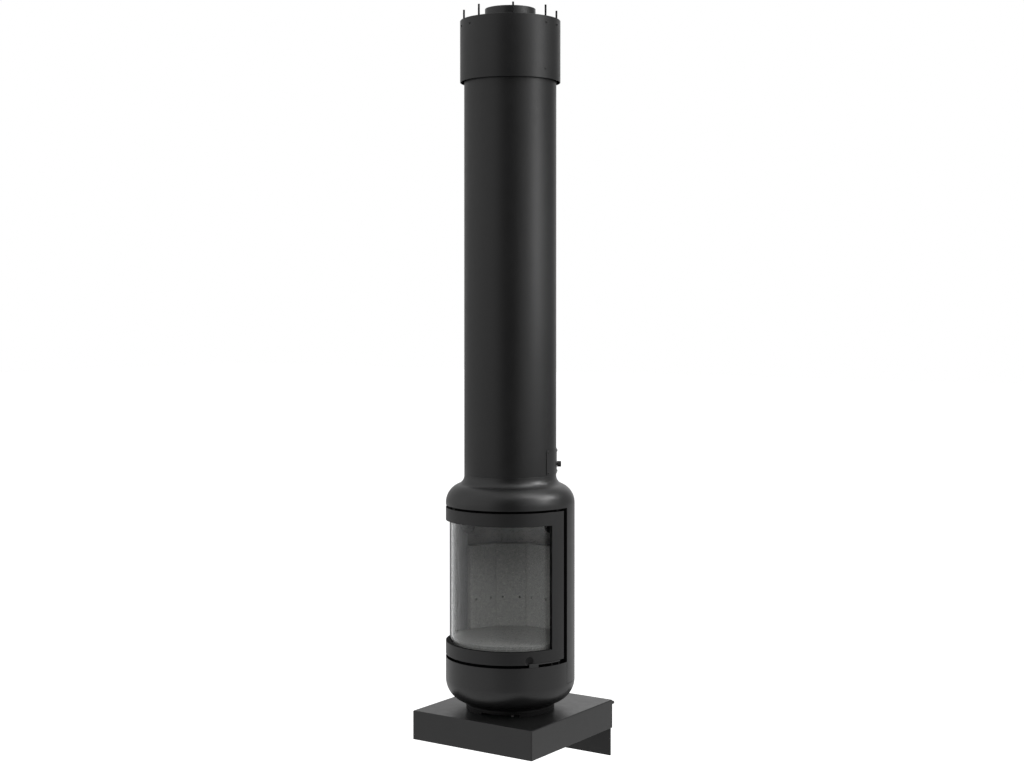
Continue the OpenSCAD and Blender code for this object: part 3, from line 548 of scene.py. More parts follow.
def jamb_ash_and_shade(name, level, dark):
    """The door's jamb: dusted with ash where it faces the firebox, and near-black everywhere else as
    painted shade in the gaps behind the door.
    """
    steel = Paint(name)
    plan = steel.node("ShaderNodeCombineXYZ")
    steel.link(steel.along("X"), plan.inputs["X"])
    steel.link(steel.maths("SUBTRACT", steel.along("Y"), AXIS_Y), plan.inputs["Y"])
    radius = steel.node("ShaderNodeVectorMath", operation="LENGTH")
    steel.link(plan.outputs["Vector"], radius.inputs[0])
    inside = steel.ranged(radius.outputs["Value"], 1, 0, JAMB_R, JAMB_R + SEAT)
    above = steel.by_height(GLASS_LOW - SKIN, GLASS_LOW, 0, 1)
    below = steel.by_height(GLASS_TOP, GLASS_TOP + SKIN, 1, 0)
    share = steel.maths("MULTIPLY", steel.maths("MULTIPLY", inside, above), below)
    ash = steel.mixed(steel.noise(30, 4, 0.6), grey(level * 0.8), grey(level * 1.2))
    # Painted shade: outside the ash band the jamb is near-black
    steel.colour(share, grey(dark), ash)
    steel.roughness(steel.noise(60, 3), 0.7, 0.85)
    steel.bump(steel.noise(700, 3), 0.1, 0.0001)
    steel.set("Specular IOR Level", 0.1)
    return steel.material


def zinc_steel(name):
    """Bright zinc plating with fine turning marks."""
    zinc = Paint(name)
    zinc.colour(zinc.ranged(zinc.noise(90, 3), 0, 1), (0.46, 0.46, 0.47), (0.6, 0.6, 0.59))
    zinc.roughness(zinc.noise(250, 3), 0.3, 0.42)
    zinc.set("Metallic", 1.0)
    zinc.bump(zinc.noise(1800, 2, 0.5, (0.2, 0.2, 1)), 0.1, 0.0001)
    return zinc.material


def vermiculite(name, level=1.0):
    """Pressed board of small mica flakes: pale grey with darker and brighter specks, with painted
    light low down and painted shade towards the top.
    """
    dark = [level * part for part in (0.3, 0.296, 0.288)]
    pale = [level * part for part in (0.42, 0.413, 0.4)]
    fleck = [level * part for part in (0.56, 0.54, 0.5)]
    board = Paint(name)
    flakes = board.node("ShaderNodeTexVoronoi", feature="F1")
    flakes.inputs["Scale"].default_value = 420
    board.link(board.place, flakes.inputs["Vector"])
    grain = board.noise(160, 5, 0.65)
    base = board.mixed(board.ranged(grain, 0, 1), dark, pale)
    specks = board.ranged(flakes.outputs["Color"], 0, 1, 0.72, 0.95)
    # Painted light and shade: the board's colour is paler low down and darker towards its top
    painted_light_and_shade = board.by_height(LIGHT_TO_SHADE_LOW, LIGHT_TO_SHADE_HIGH, PAINTED_LIGHT_BELOW, PAINTED_SHADE_ABOVE)
    painted_board_colour = board.shaded(board.mixed(specks, base, fleck), painted_light_and_shade)
    board.link(painted_board_colour, board.shader.inputs["Base Color"])
    board.roughness(board.noise(300, 2), 0.82, 0.94)
    board.bump(flakes.outputs["Distance"], 0.35, 0.0006)
    return board.material


def woven_rope(name, level):
    """Woven glass rope: crossing strands in a dark grey yarn."""
    rope = Paint(name)
    strands = rope.node("ShaderNodeTexVoronoi", feature="F1")
    strands.inputs["Scale"].default_value = 650
    rope.link(rope.place, strands.inputs["Vector"])
    depth = rope.ranged(strands.outputs["Distance"], 0, 1, 0.1, 0.7)
    rope.colour(depth, grey(level * 1.3), grey(level * 0.6))
    rope.roughness(rope.noise(300, 2), 0.8, 0.95)
    rope.bump(strands.outputs["Distance"], 0.6, 0.0005)
    return rope.material


def clear_glass(name):
    """Ceramic door glass: clear, with its gloss in the coat.
    Shadow and diffuse rays pass straight through, so that light reaches the firebox."""
    glass = Paint(name)
    glass.set("Base Color", (0.8, 0.81, 0.81, 1))
    glass.set("IOR", 1.003)
    glass.set("Coat Weight", 1.0)
    glass.set("Coat IOR", 1.27)
    glass.set("Coat Roughness", 0.02)
    glass.set("Transmission Weight", 1.0)
    glass.roughness(glass.noise(6, 2), 0.015, 0.03)
    path = glass.node("ShaderNodeLightPath")
    either = glass.maths("MAXIMUM", path.outputs["Is Shadow Ray"], path.outputs["Is Diffuse Ray"])
    clear = glass.node("ShaderNodeBsdfTransparent")
    clear.inputs["Color"].default_value = (0.92, 0.93, 0.93, 1)
    mix = glass.node("ShaderNodeMixShader")
    glass.link(either, mix.inputs["Fac"])
    glass.link(glass.shader.outputs["BSDF"], mix.inputs[1])
    glass.link(clear.outputs["BSDF"], mix.inputs[2])
    glass.link(mix.outputs["Shader"], glass.output.inputs["Surface"])
    return glass.material


def knob_plastic(name):
    """Black moulded plastic with a fine grain."""
    knob = Paint(name)
    knob.colour(knob.ranged(knob.noise(60, 2), 0, 1), grey(0.006), grey(0.01))
    knob.roughness(knob.noise(200, 2), 0.5, 0.6)
    knob.bump(knob.noise(1200, 2), 0.1, 0.0001)
    return knob.material


STOVE_BLACK = matt_paint("stove_black", level=0.010, rough=0.38, specular=0.43)
TUBE_BLACK = matt_paint("tube_black", level=0.010, rough=0.4, specular=0.35)
DOOR_BLACK = matt_paint("door_black", level=0.010, rough=0.48, specular=0.36)
HANDLE_BLACK = matt_paint("handle_black", level=0.024, rough=0.46, specular=0.42)
BRACKET_BLACK = matt_paint("bracket_black", level=0.013, rough=0.5, specular=0.4)
ZINC = zinc_steel("zinc")
HEAT_STEEL = dull_steel("heat_steel", level=0.11, rough=0.66)
# Near-black for painted shade on the sheets' edges at the door's gaps and seams, and on small parts
# deep in them
GAP_SHADE_BLACK = matt_paint("gap_shade_black", level=0.004, rough=0.7, specular=0.1)
# Near-black: the ceiling studs' own colour, and painted shade on the foot ring under the bowl and in
# the door's finger hollow
DEEP_BLACK_AND_SHADE = matt_paint("deep_black_and_shade", level=0.007, rough=0.6, specular=0.2)
JAMB_ASH_AND_SHADE = jamb_ash_and_shade("jamb_ash_and_shade", level=0.2, dark=0.004)
DARK_ZINC = dull_steel("dark_zinc", level=0.05, rough=0.45)
FLUE_STEEL = matt_paint("flue_black", level=0.010, rough=0.36, specular=0.42)
BOARD = vermiculite("vermiculite")
# The hearth is a darker copy of the lining's board: painted shade
SHADED_HEARTH = vermiculite("hearth_board_shaded", level=0.7)
ROPE = woven_rope("rope", level=0.09)
TAPE = woven_rope("tape", level=0.04)
GLASS = clear_glass("door_glass")
KNOB = knob_plastic("knob")

SLOT_MATERIALS = {
    "stove_black": STOVE_BLACK,
    "door_black": DOOR_BLACK,
    "bracket_black": BRACKET_BLACK,
    "zinc_steel": ZINC,
    "heat_steel": HEAT_STEEL,
    "flue_steel": FLUE_STEEL,
    "vermiculite": BOARD,
    "rope_seal": ROPE,
    "door_glass": GLASS,
    "knob_black": KNOB,
}


def dress_nodes():
    """Gives every CAD node the procedural material of its slot."""
    for row in frame["record"]["subparts"]:
        node = frame["nodes"][row["node"]]
        node.data.materials.clear()
        node.data.materials.append(SLOT_MATERIALS[row["material_slot"]])


dress_nodes()

# Nodes that differ from the rest of their slot: a darker tape, ash and painted shade on the jamb, and
# painted shade on the glass clips, the door guides, the foot ring and the hearth
SPECIAL_MATERIALS = {
    "glass_tape": TAPE,
    "glass_clips": GAP_SHADE_BLACK,
    "door_guides": GAP_SHADE_BLACK,
    "foot_ring": DEEP_BLACK_AND_SHADE,
    "door_jamb_frame": JAMB_ASH_AND_SHADE,
    "hearth_slab": SHADED_HEARTH,
}
for special_node, special_material in SPECIAL_MATERIALS.items():
    frame["nodes"][special_node].data.materials[0] = special_material


def soften_node(name, width):
    """Rounds the edges of a flat-sided CAD node with modifiers, which leave its own mesh as it is."""
    node = frame["nodes"][name]
    weld = node.modifiers.new("weld", "WELD")
    weld.merge_threshold = 0.01 * MM
    soften(node, width, 3, 60)


soften_node("wall_plate", 1.6 * MM)
soften_node("bracket_arms", 0.8 * MM)
soften_node("carrier_plate", 0.8 * MM)


# Console of folded sheet

FOLD_R = 3.2 * MM
CORNER_R = 3.6 * MM
RIM_EDGE = 0.4 * MM
CONSOLE_SKIN = 3 * MM
AIR_HOLE_R = 80 * MM
BOLT_HOLE_R = 4.2 * MM
BOLT_CIRCLE = 108 * MM
BOLT_ANGLES = (75, 165, 255, 345)


def console_outline(inset):
    """The console's plan from its rear left corner round the front to its rear right corner."""
    left, right = low("console_box").x + inset, high("console_box").x - inset
    front, back = low("console_box").y + inset, high("console_box").y
    corner = max(CORNER_R - inset, RIM_EDGE)
    bend = arc_rows(corner, corner, corner, 180, 270, 22.5)
    points = [(left, back)] + [(left + x, front + y) for x, y in bend]
    return points + [(right - x, front + y) for x, y in reversed(bend)] + [(right, back)]


def holed_plate(loops, z):
    """Flat triangles between an outline and its holes, as points and faces."""
    work = bmesh.new()
    for loop in loops:
        made = [work.verts.new((x, y, z)) for x, y in loop]
        for i, vert in enumerate(made):
            work.edges.new((vert, made[(i + 1) % len(made)]))
    bmesh.ops.triangle_fill(work, edges=work.edges[:], use_beauty=True, normal=(0, 0, 1))
    work.verts.index_update()
    points = [tuple(v.co) for v in work.verts]
    faces = [[v.index for v in face.verts] for face in work.faces]
    work.free()
    return points, faces


def make_console():
    """A box open below and behind, with its top folded down at the front and the sides."""
    bottom = low("console_box").z
    fold = [(FOLD_R + x, z) for x, z in arc_rows(0, BASE_Z - FOLD_R, FOLD_R, 180, 90, 15)]
    levels = [(RIM_EDGE, bottom), (0, bottom + RIM_EDGE)] + fold
    levels_in = [(CONSOLE_SKIN, BASE_Z - CONSOLE_SKIN), (CONSOLE_SKIN, bottom + RIM_EDGE),
                 (CONSOLE_SKIN - RIM_EDGE, bottom)]
    points, faces = [], []
    for inset, z in levels + levels_in:
        points += [(x, y, z) for x, y in console_outline(inset)]
    size = len(console_outline(0))
    count, total = len(levels), len(levels) + len(levels_in)
    for i in range(total):
        k = (i + 1) % total
        # The two plates with the holes stand between the last fold row and the first inner row
        if i != count - 1:
            for j in range(size - 1):
                faces.append([i * size + j, i * size + j + 1, k * size + j + 1, k * size + j])
    # The sheet's cut edge at the back, in one face
    first = [i * size for i in range(total)]
    last = [i * size + size - 1 for i in range(total)]
    faces.append(first[:count] + last[:count][::-1] + last[count:][::-1] + first[count:])
    holes = [(AIR_HOLE_R, 0, 0, 96)]
    holes += [(BOLT_HOLE_R, BOLT_CIRCLE, angle, 24) for angle in BOLT_ANGLES]
    loops = []
    for radius, out, angle, steps in holes:
        centre = at(out, angle, 0)
        loops.append([(centre.x + x, centre.y + y) for x, y, _ in circle(radius, 0, steps)])
    for inset, z in ((FOLD_R, BASE_Z), (CONSOLE_SKIN, BASE_Z - CONSOLE_SKIN)):
        plate, triangles = holed_plate([console_outline(inset)] + loops, z)
        start = len(points)
        points += plate
        faces += [[start + i for i in triangle] for triangle in triangles]
    for loop in loops:
        start, count = len(points), len(loop)
        for z in (BASE_Z, BASE_Z - CONSOLE_SKIN):
            points += [(x, y, z) for x, y in loop]
        for i in range(count):
            k = (i + 1) % count
            faces.append([start + i, start + k, start + count + k, start + count + i])
    piece = make_object("console_folded", points, faces, 50)
    weigh = piece.modifiers.new("flats", "WEIGHTED_NORMAL")
    weigh.keep_sharp = True
    put(piece, STOVE_BLACK, "stove", "stove_black", "console_box")


make_console()


# Body shells

ROUND_STEP = 1.5


def meeting_angle(round_r, hollow_r, neck_r):
    """The angle at which a round meets the hollow that follows it."""
    share = (neck_r + hollow_r - (BODY_R - round_r)) / (round_r + hollow_r)
    return math.degrees(math.acos(share))


def drop(round_r, hollow_r, neck_r):
    """The height between the centres of a round and of its hollow."""
    return (round_r + hollow_r) * math.sin(math.radians(meeting_angle(round_r, hollow_r, neck_r)))


def ring_angles(mark):
    """Angles once round the stove, with a column at a mark and at its mirror image."""
    even = [a for a in spread(-180, 180, ROUND_STEP) if abs(abs(a) - mark) > 1e-6]
    return sorted(even + [-mark, mark])


def lay_on(piece, material, is_picked):
    """Lays a material on the faces of a sheet that is_picked names, by the radius and the height of
    their middle and by how far they look along the radius."""
    slot = len(piece.data.materials)
    piece.data.materials.append(material)
    for face in piece.data.polygons:
        x, y, z = face.center
        radius = math.hypot(x, y - AXIS_Y)
        facing = abs(face.normal.x * x + face.normal.y * (y - AXIS_Y)) / radius
        if is_picked(radius, z, facing):
            face.material_index = slot


def make_casing():
    shoulder_z = OPENING_TOP + SHOULDER_RISE
    neck_z = shoulder_z + drop(SHOULDER_R, NECK_R, TUBE_R)
    meet = meeting_angle(SHOULDER_R, NECK_R, TUBE_R)
    heights = stepped(CASING_LOW, (OPENING_TOP, 30 * MM), (shoulder_z, 10 * MM))
    rows = [(BODY_R, z) for z in heights]
    rows += arc_rows(BODY_R - SHOULDER_R, shoulder_z, SHOULDER_R, 0, meet, 2)[1:]
    rows += arc_rows(TUBE_R + NECK_R, neck_z, NECK_R, 180 + meet, 180, 3)[1:]
    rows.append((TUBE_R, TUBE_Z))

    def keep(angle, z):
        return abs(angle) > OPENING_ANGLE or z > OPENING_TOP

    piece = shell("rear_casing", ring_angles(OPENING_ANGLE), rows, SKIN, keep)
    soften(piece, SKIN_EDGE)
    put(piece, STOVE_BLACK, "stove", "stove_black", "body_casing")

    # Painted shade: the sheet's cut edges round the door opening are near-black
    def opening_edge(radius, z, facing):
        return facing < EDGE_FACING and CASING_LOW + SEAT < z < OPENING_TOP + SEAT

    lay_on(piece, GAP_SHADE_BLACK, opening_edge)


def make_bowl():
    hollow_z = FOOT_TOP + BOWL_LIP
    bowl_z = hollow_z + drop(BOWL_R, BOWL_HOLLOW_R, FOOT_R)
    meet = meeting_angle(BOWL_R, BOWL_HOLLOW_R, FOOT_R)
    rows = [(BOWL_FLANGE_R, FOOT_TOP), (FOOT_R, FOOT_TOP)]
    rows += arc_rows(FOOT_R + BOWL_HOLLOW_R, hollow_z, BOWL_HOLLOW_R, 180, 180 - meet, 6)
    rows += arc_rows(BODY_R - BOWL_R, bowl_z, BOWL_R, -meet, 0, 2)[1:]
    rows += [(BODY_R, z) for z in spread(bowl_z, SKIRT_TOP, 10 * MM)][1:]
    seam = math.degrees(SEAM_GAP / BODY_R)

    def keep(angle, z):
        return abs(angle) < OPENING_ANGLE - seam or z < bowl_z

    piece = shell("front_skirt_and_bowl", ring_angles(OPENING_ANGLE - seam), rows, SKIN, keep)
    soften(piece, SKIN_EDGE)
    put(piece, STOVE_BLACK, "stove", "stove_black", "bottom_bowl")
    # Painted shade on the skirt's top edge in its seam with the casing
    lay_on(piece, GAP_SHADE_BLACK, lambda radius, z, facing: z > SKIRT_TOP - SEAT)


make_casing()
make_bowl()


# Tube, collar and spigot

def rolled_ring(name, outer_r, wall, z_low, z_high, lip):
    """A sheet ring with softly rounded rims."""
    inner_r = outer_r - wall
    step = 60 * MM
    section = [(outer_r, z) for z in spread(z_low + lip, z_high - lip, step)]
    section += arc_rows(outer_r - lip, z_high - lip, lip, 0, 90, 22)[1:]
    section += arc_rows(inner_r + lip, z_high - lip, lip, 90, 180, 22)
    section += [(inner_r, z) for z in spread(z_high - lip, z_low + lip, step)][1:]
    section += arc_rows(inner_r + lip, z_low + lip, lip, 180, 270, 22)[1:]
    section += arc_rows(outer_r - lip, z_low + lip, lip, 270, 360, 22)[:-1]
    return lathe(name, section, 1.5, 60)


put(rolled_ring("flue_tube", TUBE_R, TUBE_WALL, TUBE_Z, TUBE_TOP, 0.6 * MM),
    TUBE_BLACK, "stove", "stove_black", "tube_cover")
put(rolled_ring("ceiling_collar_ring", COLLAR_R, COLLAR_WALL, COLLAR_Z, COLLAR_TOP, 0.8 * MM),
    TUBE_BLACK, "stove", "stove_black", "ceiling_collar")


def make_spigot():
    """A short pipe whose lower end plugs into the flue pipe behind a collar."""
    spigot_r = 75 * MM
    pipe_r = 76.2 * MM
    wall = 2 * MM
    plug = 35 * MM
    fit = 0.05 * MM
    lip = 0.9 * MM
    rest_z = COLLAR_TOP - wall
    section = [(pipe_r - 2 * wall, rest_z - plug), (pipe_r - wall - fit, rest_z - plug),
               (pipe_r - wall - fit, rest_z), (pipe_r, rest_z), (pipe_r, COLLAR_TOP),
               (spigot_r, COLLAR_TOP)]
    section += arc_rows(spigot_r - lip, SPIGOT_TOP - lip, lip, 0, 90, 22)
    section += arc_rows(spigot_r - wall + lip, SPIGOT_TOP - lip, lip, 90, 180, 22)
    section += [(spigot_r - wall, COLLAR_TOP), (pipe_r - 2 * wall, rest_z)]
    piece = lathe("spigot", section, 2, 50)
    put(piece, FLUE_STEEL, "stove", "flue_steel", "flue_spigot")


make_spigot()

CEILING_STUD_R = 3 * MM
CEILING_STUD_CIRCLE = 137 * MM
CEILING_STUD_PHASE = 37.6
CEILING_STUD_COUNT = 8


def make_ceiling_studs():
    solids = Solids()
    bottom, top = low("ceiling_studs").z, high("ceiling_studs").z
    for i in range(CEILING_STUD_COUNT):
        angle = CEILING_STUD_PHASE + 360 * i / CEILING_STUD_COUNT
        place = Matrix.Translation(at(CEILING_STUD_CIRCLE, angle, 0))
        threaded_rod(solids, place, CEILING_STUD_R, bottom, top, pitch=1.0 * MM, depth=0.3 * MM)
    piece = solids.made("ceiling_studs_threaded")
    put(piece, DEEP_BLACK_AND_SHADE, "stove", "stove_black", "ceiling_studs")


make_ceiling_studs()

SCREW_HEAD_R = 3.4 * MM
SCREW_HEAD_H = 1.8 * MM
COLLAR_SCREW_ANGLES = (-41, -19, 79, 101, 199, 221)
COLLAR_SCREW_DROP = 19 * MM
CLAMP_SCREW_ANGLE = 77.7
CLAMP_SCREW_RISE = 27 * MM


def make_collar_screws():
    solids = Solids()
    for angle in COLLAR_SCREW_ANGLES:
        place = outwards(COLLAR_R, angle, COLLAR_TOP - COLLAR_SCREW_DROP)
        button_screw(solids, place, SCREW_HEAD_R, SCREW_HEAD_H,
                     shank_r=2 * MM, shank_l=4.5 * MM, socket=1.2 * MM)
    put(solids.made("collar_screw_heads"), TUBE_BLACK, "stove", "stove_black", "collar_screws")
    clamp = Solids()
    place = outwards(COLLAR_R, CLAMP_SCREW_ANGLE, COLLAR_Z + CLAMP_SCREW_RISE)
    button_screw(clamp, place, SCREW_HEAD_R, SCREW_HEAD_H,
                 shank_r=2.5 * MM, shank_l=13 * MM, socket=1.4 * MM)
    put(clamp.made("clamp_screw"), TUBE_BLACK, "stove", "stove_black", "collar_clamp_screw")


make_collar_screws()

# Damper hatch and knob

DAMPER_ANGLE = 124
HATCH_HALF_ANGLE = 39.5
HATCH_T = 1.5 * MM
HATCH_OUT_R = TUBE_R + SEAT + HATCH_T
HATCH_LOW = low("damper_hatch").z
HATCH_TOP = high("damper_hatch").z
HATCH_SCREW_R = 3.5 * MM
HATCH_SCREW_INSET = 6.5 * MM
HATCH_SCREW_ANGLE = 4
HATCH_CORNER = 6 * MM


def make_hatch():
    start, end = DAMPER_ANGLE - HATCH_HALF_ANGLE, DAMPER_ANGLE + HATCH_HALF_ANGLE
    corner_angle = math.degrees(HATCH_CORNER / HATCH_OUT_R)
    angles = stepped(start, (start + corner_angle, 0.3), (end - corner_angle, ROUND_STEP), (end, 0.3))
    rings = []
    for angle in angles:
        inset = min(angle - start, end - angle)
        lack = max(0, HATCH_CORNER - math.radians(inset) * HATCH_OUT_R)
        cut = HATCH_CORNER - math.sqrt(max(0, HATCH_CORNER ** 2 - lack ** 2))
        bottom, top = HATCH_LOW + cut, HATCH_TOP - cut
        rings.append([at(HATCH_OUT_R - HATCH_T, angle, bottom), at(HATCH_OUT_R, angle, bottom),
                      at(HATCH_OUT_R, angle, top), at(HATCH_OUT_R - HATCH_T, angle, top)])
    solids = Solids()
    solids.loft(rings)
    piece = solids.made("damper_hatch_cover")
    soften(piece, 0.3 * MM)
    put(piece, STOVE_BLACK, "stove", "stove_black", "damper_hatch")
    screws = Solids()
    for z in (HATCH_LOW + HATCH_SCREW_INSET, HATCH_TOP - HATCH_SCREW_INSET):
        for turn in (HATCH_SCREW_ANGLE - HATCH_HALF_ANGLE, 0, HATCH_HALF_ANGLE - HATCH_SCREW_ANGLE):
            place = outwards(HATCH_OUT_R, DAMPER_ANGLE + turn, z)
            button_screw(screws, place, HATCH_SCREW_R, SCREW_HEAD_H,
                         shank_r=1.8 * MM, shank_l=4.5 * MM, socket=1.2 * MM)
    put(screws.made("hatch_screw_heads"), STOVE_BLACK, "stove", "stove_black", "hatch_screws")


KNOB_R = 8.5 * MM
KNOB_H = 12 * MM
KNOB_GAP = 0.5 * MM
KNOB_EDGE = 1.5 * MM
KNOB_CHAMFER = 0.6 * MM
KNOB_FLUTES = 18
FLUTE_DEPTH = 0.25 * MM
FLUTE_STEPS = 8
DIMPLE_R = 4.25 * MM
DIMPLE_DEPTH = 0.4 * MM


def make_knob():
    """A turned knob with fine grip flutes, a rounded face and a shallow dimple in it."""
    disc_z = (low("damper_disc").z + high("damper_disc").z) / 2
    place = outwards(HATCH_OUT_R + KNOB_GAP, DAMPER_ANGLE, disc_z)

    def fluted(turn):
        wave = 0.5 + 0.5 * math.cos(math.radians(turn * KNOB_FLUTES))
        return KNOB_R - FLUTE_DEPTH * wave

    band = 1.6 * MM
    flute_start = 2.2 * MM
    shoulder = KNOB_H - KNOB_EDGE
    flute_end = shoulder - 1 * MM
    profile = [(KNOB_R - KNOB_CHAMFER, 0), (KNOB_R, KNOB_CHAMFER), (KNOB_R, band),
               (fluted, flute_start), (fluted, flute_end), (KNOB_R, shoulder)]
    profile += arc_rows(KNOB_R - KNOB_EDGE, shoulder, KNOB_EDGE, 0, 90, 30)[1:]
    profile += [(1.1 * DIMPLE_R, KNOB_H), (DIMPLE_R, KNOB_H - DIMPLE_DEPTH)]
    solids = Solids()
    solids.loft([circle(radius, z, KNOB_FLUTES * FLUTE_STEPS) for radius, z in profile], place)
    put(solids.made("knob_turned", 35), KNOB, "damper", "knob_black", "damper_knob")


make_hatch()
make_knob()

# Wall studs with their washers and nuts

STUD_R = 5 * MM
THREAD_R = 4 * MM
PLATE_T = 5 * MM
WASHER_T = 1.6 * MM
WASHER_R = 8.2 * MM
NUT_FLAT = 6.5 * MM
STUD_LOW_X = 120 * MM


def make_wall_hardware():
    """Four studs that stand out of the wall, each with a washer and a nut in front of the plate."""
    solids, washers, nuts = Solids(), Solids(), Solids()
    stud_low, stud_high = low("wall_studs"), high("wall_studs")
    upper_z, lower_z = stud_high.z - STUD_R, stud_low.z + STUD_R
    nut_start = PLATE_T + WASHER_T
    nut_top = -low("wall_nuts").y
    overlap = 2 * MM
    for x, z in ((stud_high.x - STUD_R, upper_z), (stud_low.x + STUD_R, upper_z),
                 (STUD_LOW_X, lower_z), (-STUD_LOW_X, lower_z)):
        place = Matrix(((1, 0, 0, x), (0, 0, -1, 0), (0, 1, 0, z), (0, 0, 0, 1)))
        threaded_rod(solids, place, STUD_R, -stud_high.y, 0, pitch=1.5 * MM, depth=0.45 * MM)
        threaded_rod(solids, place, THREAD_R, -overlap, -stud_low.y, pitch=1.25 * MM, depth=0.4 * MM)
        bored_ring(washers, place, THREAD_R, WASHER_R, PLATE_T, nut_start, edge=0.3 * MM)
        bored_ring(nuts, place, THREAD_R, hexagon(NUT_FLAT), nut_start, nut_top, edge=0.6 * MM)
    put(solids.made("threaded_wall_studs", 60), DARK_ZINC, "stove", "zinc_steel", "wall_studs")
    put(washers.made("stud_washers"), ZINC, "stove", "zinc_steel", "wall_washers")
    put(nuts.made("stud_nuts", 30), ZINC, "stove", "zinc_steel", "wall_nuts")


make_wall_hardware()

# Door

HANDLE_CUT_TOP = DOOR_LOW + BLADE_H + BLADE_TOP_GAP


def dished(radius, angle, z):
    """The door's outer face with the finger hollow above the handle's tab."""
    centre_r = BODY_R + RECESS_R * RECESS_OUT_SHARE
    along = centre_r * math.cos(math.radians(angle - RECESS_ANGLE))
    off = z - DOOR_LOW - RECESS_RISE
    inside = along ** 2 - centre_r ** 2 - off ** 2 + RECESS_R ** 2
    if inside <= 0:
        return radius
    return min(radius, along - math.sqrt(inside))


def make_door():
    dish_angle = math.degrees(RECESS_R / BODY_R)
    cut_angle = TAB_ANGLE - BLADE_SIDE_ANGLE
    angles = stepped(-DOOR_ANGLE, (-WINDOW_ANGLE, ROUND_STEP),
                     (RECESS_ANGLE - dish_angle, ROUND_STEP), (cut_angle, 0.25),
                     (RECESS_ANGLE + dish_angle, 0.25), (WINDOW_ANGLE, ROUND_STEP),
                     (DOOR_ANGLE, ROUND_STEP))
    heights = stepped(DOOR_LOW, (HANDLE_CUT_TOP, 0.75 * MM), (WINDOW_LOW, 0.9 * MM),
                      (WINDOW_TOP, 15 * MM), (DOOR_TOP, 8 * MM))
    rows = [(BODY_R, z) for z in heights]

    def keep(angle, z):
        in_window = abs(angle) < WINDOW_ANGLE and WINDOW_LOW < z < WINDOW_TOP
        in_notch = angle > cut_angle and z < HANDLE_CUT_TOP
        return not in_window and not in_notch

    piece = shell("door_leaf", angles, rows, DOOR_T, keep, dished)
    soften(piece, DOOR_EDGE)
    put(piece, DOOR_BLACK, "door", "door_black", "door_frame")
    # Painted shade in the finger hollow
    painted_shade_from = BODY_R - 5 * SEAT
    lay_on(piece, DEEP_BLACK_AND_SHADE, lambda radius, z, facing: DOOR_IN_R + SEAT < radius < painted_shade_from)
    # Painted shade on the door's edges at its gaps
    lay_on(piece, GAP_SHADE_BLACK, lambda radius, z, facing: facing < EDGE_FACING)


def make_glass():
    angles = spread(-GLASS_ANGLE, GLASS_ANGLE, 1)
    rows = [(GLASS_OUT_R, z) for z in spread(GLASS_LOW, GLASS_TOP, 20 * MM)]
    piece = shell("curved_glass", angles, rows, GLASS_T)
    put(piece, GLASS, "door", "door_glass", "door_glass")


def make_handle():
    """The blade and its down-turned tab as one solid of L-shaped sections."""
    inner_r = DOOR_IN_R + SEAT
    low_z = low("door_handle").z
    blade_top = DOOR_LOW + BLADE_H

    def section(angle, tab_z):
        corners = [(BODY_R, tab_z), (BODY_R, blade_top), (inner_r, blade_top), (inner_r, DOOR_LOW),
                   (BODY_R - TAB_T, DOOR_LOW), (BODY_R - TAB_T, tab_z)]
        return [at(radius, angle, z) for radius, z in corners]

    rings = [section(angle, low_z) for angle in spread(TAB_ANGLE, BLADE_ANGLE, 1)]
    rings += [section(angle, DOOR_LOW) for angle in spread(BLADE_ANGLE, BLADE_END_ANGLE, 1)]
    solids = Solids()
    solids.loft(rings)
    piece = solids.made("handle_blade")
    soften(piece, DOOR_EDGE)
    put(piece, HANDLE_BLACK, "handle", "door_black", "door_handle")
    # Painted shade on the blade's top edge in the gap under the door
    lay_on(piece, GAP_SHADE_BLACK, lambda radius, z, facing: facing < EDGE_FACING and z > blade_top - SEAT)


SEAL_ANGLE = 80.5
SEAL_W = 10 * MM
SEAL_CORNER = 9 * MM
ROPE_STRANDS = 4
ROPE_LAY = 24 * MM
ROPE_STEP = 1.6 * MM
ROPE_SIDES = 20
ROPE_SWELL = 0.05
ROPE_SQUARENESS = 0.35


def seal_path():
    """Points of the seal's centre line as (length round the glass, height), once round the window."""
    half = math.radians(SEAL_ANGLE) * GLASS_OUT_R + SEAL_W / 2
    bottom, top = low("door_seal").z + SEAL_W / 2, high("door_seal").z - SEAL_W / 2
    path = []
    for x, z, start in ((half, bottom, 270), (half, top, 0), (-half, top, 90), (-half, bottom, 180)):
        centre_x = x - math.copysign(SEAL_CORNER, x)
        centre_z = z + SEAL_CORNER if z == bottom else z - SEAL_CORNER
        path += arc_rows(centre_x, centre_z, SEAL_CORNER, start, start + 90, 9)
    fine = []
    for i, (x, z) in enumerate(path):
        next_x, next_z = path[(i + 1) % len(path)]
        count = max(1, round(math.hypot(next_x - x, next_z - z) / ROPE_STEP))
        fine += [(x + (next_x - x) * k / count, z + (next_z - z) * k / count) for k in range(count)]
    return fine


